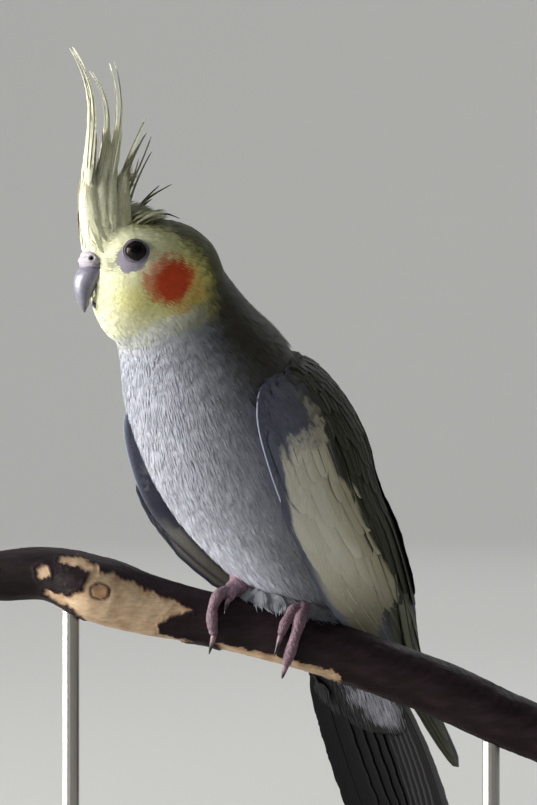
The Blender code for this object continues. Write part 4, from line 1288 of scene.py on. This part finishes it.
def fused(parts, voxel, rounds, strength=0.6):
    """One smooth closed surface from several overlapping ones."""
    points, faces = joined_arrays(parts)
    plain, _, _ = new_material("plain")
    rough = make_mesh("rough", points, faces, plain)
    remesh = rough.modifiers.new("one_skin", "REMESH")
    remesh.mode = "VOXEL"
    remesh.voxel_size = voxel * MM
    graph = bpy.context.evaluated_depsgraph_get()
    data = rough.evaluated_get(graph).to_mesh()
    data.calc_loop_triangles()
    points = np.empty(len(data.vertices) * 3)
    data.vertices.foreach_get("co", points)
    points = points.reshape(-1, 3) / MM
    tris = np.empty(len(data.loop_triangles) * 3, np.int32)
    data.loop_triangles.foreach_get("vertices", tris)
    edges = np.empty(len(data.edges) * 2, np.int32)
    data.edges.foreach_get("vertices", edges)
    bpy.data.objects.remove(rough, do_unlink=True)
    bpy.data.materials.remove(plain)
    edges = edges.reshape(-1, 2)
    both = np.concatenate((edges, edges[:, ::-1]))
    degree = np.bincount(both[:, 0], minlength=len(points))[:, None]
    for _ in range(rounds):
        total = np.stack([np.bincount(both[:, 0], points[both[:, 1], i], len(points)) for i in range(3)], -1)
        points = points + strength * (total / degree - points)
    return Shell(points, tris.reshape(-1, 3))


def scaly_tube(path, radii, plates, plate_height, sides=28):
    """A toe or shank: plates across its outer side, small round scales elsewhere."""
    count = 110
    s = np.linspace(0, 1, count)
    t = np.linspace(0, 1, len(path))
    path = np.stack([np.interp(s, t, path[:, i]) for i in range(3)], -1)
    for _ in range(6):
        path[1:-1] = (path[:-2] + path[1:-1] * 2 + path[2:]) / 4
    radii = np.interp(s, t, radii)
    angle = turns(sides)
    wave = np.abs(np.sin(math.pi * plates * s)) ** 0.6 - 0.6
    small = np.sin(math.pi * plates * 2.2 * s)[:, None] * np.sin(angle * 5)[None]
    reach = radii[:, None] + plate_height * (wave[:, None] * 0.8 + 0.5 * small)
    shape = np.sqrt(np.clip(1 - ((0.04 - np.minimum(s, 1 - s)) / 0.04).clip(0) ** 2, 0.02, 1))
    return tube_mesh(path_rings(path, reach * shape[:, None], sides, np.array((1.0, 0, 0))))


def skin_material(name, scale, roughness=0.55, height=0.00025):
    """Bare skin: small round scales with darker lines between them."""
    made, tree, shader = new_material(name, Roughness=roughness, Specular_IOR_Level=0.35,
                                      Subsurface_Weight=0.12)
    shader.inputs["Subsurface Radius"].default_value = (0.0012, 0.0005, 0.0004)
    shader.inputs["Subsurface Scale"].default_value = 0.6
    place = object_place(tree)
    cells = add_node(tree, "TexVoronoi", {"feature": "DISTANCE_TO_EDGE"}, Vector=place, Scale=scale)
    line = between(tree, cells.outputs[0], 0.0, 0.18)
    fine = spread(tree, noise(tree, place, scale * 1.6, 3.0), -0.07, 0.07)
    vary_paint(tree, shader, maths(tree, "ADD", between(tree, line, 0.0, 1.0, 0.80, 1.04), fine))
    bump(tree, shader, line, height, 0.6)
    return made


def horn_material(name, roughness=0.32, coat=0.25):
    """Horn: the painted colour with faint growth lines."""
    made, tree, shader = new_material(name, Roughness=roughness, Specular_IOR_Level=0.5, Coat_Weight=coat,
                                      Coat_Roughness=0.25)
    place = object_place(tree)
    fine = noise(tree, place, 700.0, 4.0, 0.6)
    vary_paint_twice(tree, shader, fine, 0.92, 1.06, noise(tree, place, 220.0, 2.0), 0.08)
    tree.links.new(spread(tree, fine, roughness - 0.06, roughness + 0.12), shader.inputs["Roughness"])
    bump(tree, shader, fine, 0.00008, 0.5)
    return made


def make_foot(side):
    place = FOOT_PLACES[side]
    parts, claws = [], []
    for first, last, shift, bow, thick in TOES[side]:
        t = np.linspace(0, 1, 60)
        radius = thick * (1.06 - 0.24 * t + 0.09 * np.cos(2 * math.pi * 2.6 * t))
        x = place + shift * t**0.8 + bow * np.sin(math.pi * t)
        path = round_branch(x, first + (last - first) * t, radius + GAP)
        parts.append(scaly_tube(path, radius, 11 if abs(last - first) > 60 else 8, PLATE_HEIGHT))
        sense = 1 if last > 0 else -1
        t = np.linspace(0, 1, 26)
        radius = thick * 0.62 * (1 - 0.90 * t**1.4)
        lift = CLAW_LIFT * np.sin(math.pi * 0.5 * t) ** 2
        # The claw's first ring lies back inside the toe
        angle = last + sense * (3 + CLAW_SWEEP * t - 5 * (t == 0))
        path = round_branch(place + shift * (1 + 0.06 * t), angle, thick * 0.82 + GAP + lift)
        points, faces = tube_mesh(path_rings(path, radius, 20, np.array((1.0, 0, 0)), 0.8))
        along = np.concatenate((t.repeat(20), (0.0, 1.0)))
        claws.append((points, faces, mix(FOOT_PINK * 0.8, CLAW_DARK * 0.4, step(0.15, 0.6, along))))
    palm = round_branch(place, 0.0, np.array((3.35,)))[0]
    parts.append(tube_mesh(palm + unit_ball(18, 28) * np.array((4.2, 3.6, 2.9))))
    root = round_branch(place, 0.0, np.array((4.0,)))[0]
    t = np.linspace(0, 1, 40)
    shank = root + t[:, None] * np.array((0.0, 9.0, 12.0))
    parts.append(scaly_tube(shank, SHANK_RADIUS * (1 + 0.28 * t**2), 9, PLATE_HEIGHT))
    foot = fused(parts, 0.32, 2, 0.5)
    # Greyer in soft patches, and greyer and darker where the skin faces down, as painted shade
    shade = np.clip(0.5 + 0.35 * ripple(foot.points, 6.0, 2.0) - 0.3 * foot.normals[:, 2], 0, 1)
    colour = mix(FOOT_PINK, FOOT_GREY_AND_SHADE, shade * 0.8)
    skin = skin_material(f"foot_{side}_scales", 900.0)
    made = make_mesh(f"foot_{side}_skin", foot.points + GRIP, foot.faces, skin, colours=colour)
    add_piece(made, "foot_skin", f"foot_{side}", f"leg_{side}")
    points, faces, colour = joined_arrays(claws)
    horn = horn_material(f"claws_{side}")
    made = make_mesh(f"claws_{side}", points + GRIP, faces, horn, colours=colour)
    add_piece(made, "claw_horn", *[f"claw_{side}_{n}" for n in range(1, 5)])


def clear_of_branch(places, off):
    """Places from the grip, moved out of the branch to at least off mm from its bark."""
    middle, ahead, radius, _, _ = branch_frame(places[:, 0])
    away = places - middle
    away = away - ahead * (away * ahead).sum(1, keepdims=True)
    short = np.maximum(radius + off - np.linalg.norm(away, axis=1), 0)
    return places + unit(away) * short[:, None]


def make_thigh_feathers(shell):
    """Loose pale feathers of the belly and thighs that hang over the branch round the legs, painted darker as
    the shade under the belly.
    """
    world = bird_to_world(shell.points) - GRIP
    facing = bird_to_world_normals(shell.normals)[shell.faces].mean(1)[:, 1]
    middles = world[shell.faces].mean(1)
    middle, _, radius, _, _ = branch_frame(middles[:, 0])
    gap = middles[:, 2] - middle[:, 2] - radius
    chance = shell.area * (np.abs(gap) < 5.0) * (facing < -0.05) * (np.abs(middles[:, 0] - 9.0) < 24.0)
    number = RANDOM.choice(len(chance), THIGH_TRIES, p=chance / chance.sum())
    roots = middles[number] + RANDOM.normal(size=(THIGH_TRIES, 3)) * 0.3
    roots = roots[scattered(roots, np.full(THIGH_TRIES, 1.1))]
    count = len(roots)
    length = RANDOM.uniform(6.0, 11.0, (count, 1))
    sway = RANDOM.normal(size=(count, 3)) * 0.12
    mid = clear_of_branch(roots + unit(np.array((0.1, -0.35, -1.0)) + sway) * length / 2, 1.0)
    tip = clear_of_branch(mid + unit(np.array((0.15, -0.05, -1.0)) + sway) * length / 2, 0.7)
    normal = unit(np.array((-0.25, -1.0, 0.25)) + sway)
    places = world_to_bird(roots + GRIP)
    base = mix(body_colour(places), GREY_PALE, np.full(count, 0.2))
    # Painted much darker than the body's colour, as the shade under the belly
    colours = np.stack((base * 0.5, base * 0.72), 1)
    lift = np.stack((np.full(count, -0.4), RANDOM.uniform(0.2, 0.9, count)), -1)
    normals = np.repeat(normal[:, None], 3, 1)
    points, faces, tint, uv, soft = fan_feathers(roots, mid, tip, normals, 0.30 * length[:, 0], lift, colours,
                                                 body_patches(places), bend=8.0, fray=0.6)
    made = make_mesh("thigh_feathers", points + GRIP, faces, plumage_material("thigh_soft"), colours=tint,
                     patches=uv, normals=soft)
    add_piece(made, "grey_plumage")


# The tail

TAIL_BLACK = srgb(18, 17, 18)
TAIL_GREY_AND_SHEEN = srgb(72, 72, 74)
UNDERTAIL_GREY = srgb(102, 102, 110)
TAIL_DOWN = np.array((-math.cos(math.radians(TAIL_PITCH)), 0, -math.sin(math.radians(TAIL_PITCH))))
TAIL_DORSAL = np.array((-math.sin(math.radians(TAIL_PITCH)), 0, math.cos(math.radians(TAIL_PITCH))))
# The tail's feathers from the long middle pair on top to the short outer pair below: tip and half width
TAIL_FEATHERS = ((1.0, 6.2), (0.93, 7.6), (0.85, 8.1), (0.76, 8.3), (0.67, 8.1), (0.58, 7.4))
# The solid core of the tail's upper end: its length as a share of the tail's, and its breadth
CORE_END = 0.302
CORE_BREADTH = 0.86


def tail_place(share, across, depth):
    """Points of the tail: share is from root to tip, across from side to side, depth from top to bottom."""
    table = spline(TAIL, 300)
    share, across, depth = np.broadcast_arrays(*(np.asarray(a, float) for a in (share, across, depth)))
    half, arch, thick = (np.interp(share, table[:, 0], table[:, i]) for i in (1, 2, 3))
    rise = arch * (1 - across**2) - depth * thick * (0.35 + 0.65 * (1 - across**4))
    place = TAIL_ROOT + TAIL_DOWN * (share * TAIL_LENGTH)[..., None] + TAIL_DORSAL * rise[..., None]
    place = place + np.array((0, 1.0, 0)) * (half * across)[..., None]
    lean = np.array((0, 1.0, 0)) * (2 * arch * across / np.maximum(half, 1))[..., None]
    return place, unit(TAIL_DORSAL + lean)


def core_breadth(share):
    """How much of the tail's breadth its core takes up, which rounds off at its end."""
    return CORE_BREADTH * np.sqrt(1 - (share / CORE_END) ** 4)


def make_tail():
    share = np.linspace(0, 0.30, 40)[:, None]
    across = np.linspace(-1, 1, 30)[None] * core_breadth(share)
    upper = tail_place(share, across, 0.30)[0]
    lower = tail_place(share, across[:, ::-1], 0.70)[0]
    core = Shell(*tube_mesh(np.concatenate((upper, lower), 1)))
    colour = np.broadcast_to(TAIL_BLACK * 0.7, core.points.shape)
    down = plumage_material("tail_down", 0.8, 0.1, 0.0)
    made = make_mesh("tail_core", bird_to_world(core.points), core.faces, down, colours=colour)
    add_piece(made, "tail_plumage", "tail")
    quills = FeatherBatch()
    s = np.linspace(0, 1, 40)
    start = 0.03
    for side in (1, -1):
        for k, (tip, half) in enumerate(TAIL_FEATHERS):
            lateral = side * (0.07 + 0.13 * k) * (0.75 + 0.25 * np.clip(s / 0.3, 0, 1))
            path, normals = tail_place(start + (tip - start) * s, lateral, 0.05 + 0.17 * k)
            across = np.cross(normals, unit(np.gradient(path, axis=0)))
            normals = unit(normals - across * 0.05 * np.sign(across[:, 1:2] * side + 1e-9))
            # Far paler on the bird's left than on its right: the feathers' own grey edges, with a painted
            # sheen where light glances along that side
            pale = 0.5 if side > 0 else 0.05
            web = mix(TAIL_BLACK, TAIL_GREY_AND_SHEEN, pale * 0.08 * k)
            outer = -1 if across[len(s) // 2, 1] * side > 0 else 1
            paint = feather_paint(TAIL_BLACK, mix(web, TAIL_GREY_AND_SHEEN, pale), TAIL_BLACK * 0.5, 0.14, web, outer)
            quills.add(path, normals, half, paint, (0.5 + 0.4 * side * k / 5, 0.5))
    vanes = vane_material("tail_vanes", 0.7, 0.06)
    made = quills.mesh("tail_quills", vanes, rows=70, columns=9, droop=0.05, point=0.78, ragged=0.012)
    add_piece(made, "tail_plumage")
    # Coverts over the root, above and below
    number = RANDOM.choice(len(core.area), TAIL_TRIES, p=core.area / core.area.sum())
    roots = core.points[core.faces[number]].mean(1) + RANDOM.normal(size=(len(number), 3)) * 0.4
    along = (roots - TAIL_ROOT) @ TAIL_DOWN
    below = core.normals[core.faces[number]].mean(1) @ TAIL_DORSAL < 0
    # Below, only where the feather's tip still lies on the core
    tip_share = np.minimum((along + 14.0) / TAIL_LENGTH, CORE_END)
    inside = core_breadth(tip_share) * read_table(tip_share, TAIL)
    kept = np.flatnonzero(np.where(below, np.abs(roots[:, 1]) < inside - 1.0, along < 22))
    kept = kept[scattered(roots[kept], np.full(len(kept), 2.1))]
    roots, along, below = roots[kept], along[kept], below[kept]
    wedge = np.abs(roots[:, 1] - 4.0)
    length = RANDOM.uniform(11, 15, len(roots))
    root, normal_0 = core.nearest(roots)
    mid, normal_1 = core.nearest(root + TAIL_DOWN * (length / 2)[:, None])
    tip, normal_2 = core.nearest(mid + TAIL_DOWN * (length / 2)[:, None])
    lift = np.stack((np.full(len(root), 0.2), RANDOM.uniform(0.9, 1.1, len(root))), -1)
    pale = step(34, 28, wedge + 0.8 * along) * step(16, 12, wedge) * below
    base = mix(TAIL_BLACK * 1.5, UNDERTAIL_GREY, pale) * (1 + 0.03 * RANDOM.normal(size=(len(root), 1)))
    colours = np.stack((base * 0.85, base * 1.1), 1)
    patches = np.stack((0.5 + roots[:, 1] / 60, 0.1 + 0.8 * along / TAIL_LENGTH), -1)
    normals = np.stack((normal_0, normal_1, normal_2), 1)
    fans = fan_feathers(root, mid, tip, normals, 0.32 * length, lift, colours, patches, strips=11)
    soft = plumage_material("tail_soft", 0.75, 0.1, 0.03)
    add_piece(feather_mesh("tail_coverts", soft, *fans), "grey_plumage")


# The crest

# Each lock's curve in the head's frame as x and z: root, two handles, tip; then how many feathers it has,
# their half width and how dark they are
CREST_LOCKS = (
    ((19.0, 8.0), (28.0, 34.0), (11.8, 50.0), (27.2, 71.8), 7, 1.9, 0.0),
    ((17.0, 11.0), (23.5, 30.0), (6.3, 46.0), (20.8, 64.5), 5, 1.3, 0.12),
    ((15.0, 11.5), (18.0, 32.0), (6.0, 46.0), (13.0, 67.5), 4, 1.2, 0.25),
    ((12.0, 12.0), (13.0, 26.0), (5.0, 38.0), (0.2, 50.0), 3, 1.5, 0.6),
    ((9.5, 12.5), (9.5, 22.0), (2.5, 32.0), (-1.2, 43.0), 3, 1.2, 0.8),
    ((5.5, 13.0), (5.5, 20.5), (-2.0, 24.0), (-9.4, 27.0), 3, 1.1, 0.9),
    ((2.0, 13.0), (-0.5, 18.5), (-6.0, 18.0), (-12.5, 16.6), 3, 1.0, 1.0),
)
CREST_PALE = srgb(244, 244, 216)
CREST_OLIVE = srgb(112, 112, 80)


def bezier(a, b, c, d, count):
    t = np.linspace(0, 1, count)[:, None]
    return a * (1 - t) ** 3 + 3 * b * t * (1 - t) ** 2 + 3 * c * t**2 * (1 - t) + d * t**3


def crest_feather(handles, spread, wander):
    """One crest feather's shaft: the lock's curve, moved a little at each handle."""
    moved = []
    for n, (x, z) in enumerate(handles):
        share = n / 3
        shift = RANDOM.normal(size=3) * wander * (0.35 + share * np.array((1.0, 0.8, 1.5)))
        moved.append(shift + np.array((x, spread * (1 - 0.45 * share), z)))
    return bezier(*moved, 40)


def make_crest(shell):
    quills = FeatherBatch()
    for lock, (root, low, high, tip, count, half, dark) in enumerate(CREST_LOCKS):
        for k in range(count):
            spread = (k / max(count - 1, 1) - 0.5) * (7.0 if lock < 4 else 5.0)
            path = crest_feather((root, low, high, tip), spread, 0.35 + 0.75 * (k % 3 > 0))
            if k % 3:
                # Shorter ones fill the lock's lower part
                path = path[: int(40 * RANDOM.uniform(0.55, 0.9))]
            ahead = unit(np.gradient(path, axis=0))
            twist = RANDOM.uniform(0.4, 1.3)
            facing = np.array((math.sin(twist), math.cos(twist), 0.0))
            normals = unit(facing - ahead * (ahead @ facing)[:, None])
            shade = np.clip(dark + 0.15 * RANDOM.normal(), 0, 1)
            base = mix(CREST_PALE, CREST_OLIVE, 0.25 * shade) * (1 + 0.05 * RANDOM.normal())
            # The locks behind the front one are painted lighter, as painted light shining through the thin
            # feathers; the front lock is painted darker
            base = base * (0.74 if lock == 0 else 1.2)
            shaft = mix(base * 0.85, CREST_OLIVE * 0.5, shade)

            def paint(s, b, base=base, shaft=shaft, shade=shade):
                s, b = np.broadcast_arrays(s, b)
                colour = mix(base, CREST_OLIVE, shade * 0.75 * step(0.25, 0.7, s))
                colour = mix(colour, CREST_OLIVE * 0.6, shade * 0.6 * step(0.5, 0.0, np.abs(b)))
                return mix(colour, shaft, (b == ON_SHAFT) * 1.0)

            normals = unit(head_to_bird(normals) - HEAD_CENTRE)
            width = half * RANDOM.uniform(0.8, 1.1)
            quills.add(head_to_bird(path), normals, width, paint, (0.3 + 0.07 * lock, 0.6))
    forward = (head_to_bird(np.array((1.0, 0.0, 0.0))) - HEAD_CENTRE) * 1.1
    made = quills.mesh("crest_quills", vane_material("crest_vanes", 0.6), rows=54, columns=7, droop=0.25,
                       point=0.22, ragged=0.08, taper=0.75, rounding=forward)
    add_piece(made, "yellow_plumage", "crest")
    make_crest_base(shell)


def make_crest_base(shell):
    """Soft feathers that rise from the forehead and crown and close up into the crest."""
    middles = bird_to_head(shell.points)[shell.faces].mean(1)
    rear = np.interp(middles[:, 2], (2.0, 9.0, 12.0), (19.0, 12.0, 1.0))
    chance = shell.area * (middles[:, 2] > 3.5) * (middles[:, 0] > rear) * (np.abs(middles[:, 1]) < 8.5)
    number = RANDOM.choice(len(chance), CREST_TRIES, p=chance / chance.sum())
    roots = middles[number] + RANDOM.normal(size=(CREST_TRIES, 3)) * 0.25
    roots = roots[scattered(roots, np.full(len(roots), 0.85))]
    curves = np.array([bezier(*[np.array((x, 0.0, z)) for x, z in lock[:4]], 90) for lock in CREST_LOCKS])
    inside = []
    # More of them grow out of the locks themselves, so that these close up lower down
    for lock, count in ((0, 300), (1, 240), (2, 170), (3, 60)):
        spot = RANDOM.integers(4, 38, count)
        spread = 2.3 * (1 - spot / 60)[:, None] * np.array((0.45, 1.0, 0.2))
        inside.append(curves[lock, spot] + RANDOM.normal(size=(count, 3)) * spread)
    roots = np.concatenate((roots, *inside))
    places, normals, lengths, darks, lights = [], [], [], [], []
    for root in roots:
        rearward = root[0] < 9.5 + RANDOM.uniform(-1.5, 1.5)
        gap = np.linalg.norm(curves[:4, :, (0, 2)] - root[[0, 2]], axis=-1)
        nearest = gap.min(1) + RANDOM.uniform(0, 1.6, 4)
        lock = int(np.argmin(nearest))
        curve, start = curves[lock], int(np.argmin(gap[lock]))
        length = RANDOM.uniform(8, 16)
        off = root - curve[start]
        row = [root]
        if rearward:
            length = RANDOM.uniform(4.5, 7.5)
            row.append(root + np.array((-0.42, 0.02 * off[1], 0.30)) * length)
            row.append(root + np.array((-0.92, 0.03 * off[1], 0.36)) * length)
            normal = np.array((0.35, 0.5 * np.sign(off[1]), 1.0))
        else:
            normal = off * np.array((1.6, 1.0, 0.1)) + (2.2, 0, 0)
            spot = length / 2 / np.linalg.norm(curve[1:] - curve[:-1], axis=1).sum() * 89
            for part, gather in ((1, 0.76), (2, 0.46)):
                reach = start + part * spot
                low = min(int(reach), 88)
                row.append(curve[low] + (curve[low + 1] - curve[low]) * min(reach - low, 1.0) + off * gather)
        places.append(row)
        normals.append(normal)
        lengths.append(length)
        darks.append(0.75 if rearward else CREST_LOCKS[lock][6] * 0.6)
        # Those behind the front lock are painted lighter, as painted light shining through the thin feathers;
        # the front lock's darker
        lights.append(0.84 if lock == 0 else 1.1)
    places = head_to_bird(np.array(places))
    normal = unit(head_to_bird(unit(np.array(normals) + 1e-3)) - HEAD_CENTRE)
    length, dark = np.array(lengths), np.array(darks)
    lift = np.stack((np.full(len(length), -0.5), RANDOM.uniform(0.0, 0.3, len(length))), -1)
    low = body_colour(places[:, 0])
    high = mix(CREST_PALE, CREST_OLIVE, dark) * (1 + 0.05 * RANDOM.normal(size=(len(length), 1)))
    high = high * np.array(lights)[:, None]
    out_of_skin = np.arange(len(length)) >= len(length) - sum(len(part) for part in inside)
    low = np.where(out_of_skin[:, None], high, mix(low, high, np.full(len(low), 0.3)))
    normals = np.repeat(normal[:, None], 3, 1)
    colours = np.stack((low, high), 1)
    fans = fan_feathers(*places.swapaxes(0, 1), normals, 0.6 + 0.07 * length, lift, colours,
                        body_patches(places[:, 0]), bend=4.0, fray=0.5)
    add_piece(feather_mesh("crest_base", plumage_material("crest_soft"), *fans), "yellow_plumage")


# Eyes, cere and bill

LID_SKIN = srgb(112, 102, 114)
# The lids' rolls: radius, height over the eye's middle, thickness, size of the beads and colour
LID_ROLLS = ((3.45, 2.75, 0.30, 0.12, LID_SKIN), (3.95, 2.35, 0.42, 0.05, BARE_SKIN * 0.92))
BILL_SLATE = srgb(128, 126, 142)
BILL_DARK = srgb(74, 70, 78)
CERE_PALE = srgb(182, 176, 184)


def eye_material():
    made, tree, shader = new_material("eye_wet", Roughness=0.2, Specular_IOR_Level=0.1, Coat_Weight=0.12,
                                      Coat_Roughness=0.04)
    vary_paint(tree, shader, spread(tree, noise(tree, object_place(tree), 1800.0, 3.0), 0.75, 1.25))
    return made


def make_eye(side, name):
    """A ball with a dark iris and a black pupil, inside a ring of beaded lid."""
    look = unit(np.array((0.22, side, 0.10)))
    across = unit(np.cross(look, (0, 0, 1.0)))
    up = np.cross(across, look)
    centre = EYE_CENTRE * np.array((1, side, 1))
    rows, sides = 47, 72
    from_front = np.linspace(0, math.pi, rows + 2)[1:-1]
    swell = 1 + 0.05 * step(0.65, 0.2, from_front)  # the cornea stands out a little
    ball = unit_ball(rows, sides) @ np.stack((across, up, look)) * (EYE_RADIUS * swell)[:, None, None]
    points, faces = tube_mesh(centre + ball)
    away = np.concatenate((from_front.repeat(sides), (0.0, math.pi)))
    colour = mix(srgb(7, 6, 7), srgb(26, 18, 16), step(0.36, 0.44, away))
    colour = mix(colour, srgb(14, 11, 12), step(0.70, 0.86, away))
    eye = make_mesh(name, head_to_world(points), faces, eye_material(), colours=colour)
    add_piece(eye, "eye", name)
    # The lids: two soft rolls round the eye, beaded along the inner one
    rows, sides = 160, 16
    angle, turn = turns(rows), turns(sides)[:, None]
    i, k = np.meshgrid(np.arange(rows), np.arange(sides), indexing="ij")
    j, m = (i + 1) % rows, (k + 1) % sides
    corners = [number.ravel() for number in (i * sides + k, j * sides + k, j * sides + m, i * sides + m)]
    tris = np.concatenate([np.stack([corners[c] for c in three], -1) for three in ((0, 1, 2), (0, 2, 3))])
    parts = []
    for radius, height, thick, beads, tint in LID_ROLLS:
        wide = radius * (1 + 0.05 * np.cos(2 * angle) - 0.02 * np.sin(angle))
        away = across * (1.03 * np.cos(angle) * wide)[:, None] + up * (0.90 * np.sin(angle) * wide)[:, None]
        tube = thick * (1 + beads * 2 * np.cos(angle * 34) + 0.12 * np.sin(angle * 5 + 1))
        round_it = unit(away)[:, None] * np.cos(turn) + look * np.sin(turn)
        flat = (centre + look * height + away[:, None] + round_it * tube[:, None, None]).reshape(-1, 3)
        parts.append((flat, outward(flat, tris), np.broadcast_to(tint, flat.shape)))
    points, faces, colour = joined_arrays(parts)
    skin = skin_material(name + "_lid", 1600.0, 0.5, 0.00012)
    lid = make_mesh(name.replace("eye", "eyelid"), head_to_world(points), faces, skin, colours=colour)
    add_piece(lid, "cere_skin")


def make_cere():
    """The swollen bare skin above the bill, with a round nostril on each side."""
    ball = unit_ball(119, 200)
    points = ball * CERE_RADII
    # A groove down the middle and a fold above the bill
    points[..., 0] -= 0.35 * bell(points[..., 1], 0.0, 0.9) * (ball[..., 0] > 0)
    points *= (1 + 0.035 * np.sin(points[..., 2] * 2.6 + 0.6))[..., None]
    depth = np.zeros(points.shape[:2])
    rim = np.zeros(points.shape[:2])
    for side in (1, -1):
        nostril = np.array((1.6, side * 5.4, 0.9))
        away = np.linalg.norm(points - nostril, axis=-1)
        depth += step(1.05, 0.35, away)
        rim += bell(away, 1.35, 0.45)
    points = points * (1 - 0.30 * depth + 0.035 * rim)[..., None]
    points, faces = tube_mesh(points + CERE_CENTRE)
    flat = np.concatenate((depth.ravel(), (0, 0)))
    colour = mix(CERE_PALE, BARE_SKIN * 0.9, step(1.5, -1.6, points[:, 2]))
    # The nostrils: painted dark, as the shade inside them
    colour = mix(colour, srgb(40, 34, 38), np.clip(flat * 1.2, 0, 1))
    skin = skin_material("cere", 1500.0, 0.5, 0.0001)
    cere = make_mesh("cere_fold", head_to_world(points), faces, skin, colours=colour)
    add_piece(cere, "cere_skin", "cere")


def make_bill():
    rows, sides = 90, 64
    stations = np.array([c + t + (w,) for c, t, w in zip(CULMEN, TOMIUM, BILL_HALF_WIDTHS)])
    table = spline(stations, rows)
    top = np.stack((table[:, 0], np.zeros(rows), table[:, 1]), -1)
    edge = np.stack((table[:, 2], np.zeros(rows), table[:, 3]), -1)
    middle, reach, half = (top + edge) / 2, (top - edge) / 2, table[:, 4]
    angle = turns(sides)
    share = np.linspace(0, 1, rows)[:, None]
    keel = 1 + 0.05 * bell(np.minimum(angle, 2 * math.pi - angle), 0.0, 0.35)
    notch = 0.18 * bell(share, 0.70, 0.07) * np.maximum(0, -np.cos(angle)) ** 4
    layers = 1 + 0.003 * np.sin(share * 62) + 0.003 * np.sin(share * 23 + 2)
    rings = middle[:, None] + reach[:, None] * (np.cos(angle) * keel * (1 - notch) * layers)[..., None]
    rings[..., 1] += half[:, None] * np.sin(angle) * layers
    points, faces = tube_mesh(rings)
    shade = np.concatenate((share.repeat(sides), (0.0, 1.0)))
    colour = mix(BILL_SLATE * 1.06, BILL_SLATE * 0.80, step(0.2, 0.75, shade))
    colour = mix(colour, BILL_DARK, 0.7 * step(0.78, 1.0, shade))
    colour = colour * (1 + 0.06 * ripple(points, 3.0, 4.0))[:, None]
    horn = horn_material("bill_horn")
    upper = make_mesh("bill_upper_horn", head_to_world(points), faces, horn, colours=colour)
    add_piece(upper, "bill_horn", "bill_upper")
    path = spline(np.array([(x, 0.0, z, radius) for x, z, radius in LOWER_BILL]), 40)
    radii = path[:, 3] * (1 - 0.5 * np.linspace(0, 1, 40) ** 6)
    rings = path_rings(path[:, :3], radii, 48, np.array((0, 1.0, 0)))
    rings[..., 2] = path[:, None, 2] + 0.8 * (rings[..., 2] - path[:, None, 2])
    points, faces = tube_mesh(rings)
    colour = np.broadcast_to(BILL_DARK * 0.8, points.shape)
    horn = horn_material("bill_lower")
    lower = make_mesh("bill_lower_horn", head_to_world(points), faces, horn, colours=colour)
    add_piece(lower, "bill_horn", "bill_lower")


# The stand

def stained_wood():
    made, tree, shader = new_material("stand_wood", Roughness=0.62, Specular_IOR_Level=0.2, Coat_Weight=0.05,
                                      Coat_Roughness=0.5)
    place = stretched_place(tree, (0.10, 1.0, 1.0))
    grain = noise(tree, place, 160.0, 6.0, 0.62)
    pores = noise(tree, place, 1100.0, 2.0)
    specks = between(tree, pores, 0.35, 0.65, -0.15, 0.1)
    mixed = maths(tree, "ADD", spread(tree, grain, 0.6, 1.5), specks)
    ramp = add_node(tree, "ValToRGB", None, Fac=between(tree, mixed, 0.4, 1.6))
    ramp.color_ramp.elements[0].color = (0.018, 0.012, 0.009, 1)
    ramp.color_ramp.elements[1].color = (0.075, 0.048, 0.034, 1)
    tree.links.new(ramp.outputs[0], shader.inputs["Base Color"])
    bump(tree, shader, pores, 0.0001, 0.4)
    return made


def brushed_steel():
    made, tree, shader = new_material("stand_steel", Metallic=1.0, Roughness=0.35)
    lines = noise(tree, stretched_place(tree, (1.0, 1.0, 0.03)), 3000.0, 3.0, 0.6)
    tree.links.new(spread(tree, lines, 0.28, 0.46), shader.inputs["Roughness"])
    shader.inputs["Base Color"].default_value = (0.52, 0.50, 0.47, 1)
    bump(tree, shader, lines, 0.00004, 0.3)
    return made


def finish_stand():
    wood, steel = stained_wood(), brushed_steel()
    for name, made in (("stand_base", wood), ("stand_rod_left", steel), ("stand_rod_right", steel)):
        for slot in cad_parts[name].material_slots:
            slot.material = made


make_camera()
make_stage()
SHELL = body_shell()
make_skin(SHELL)
make_body_coat(SHELL)
make_wing(1, "wing_left")
make_wing(-1, "wing_right")
make_perch()
make_foot("left")
make_foot("right")
make_thigh_feathers(SHELL)
make_tail()
make_crest(SHELL)
make_eye(1, "eye_left")
make_eye(-1, "eye_right")
make_cere()
make_bill()
finish_stand()
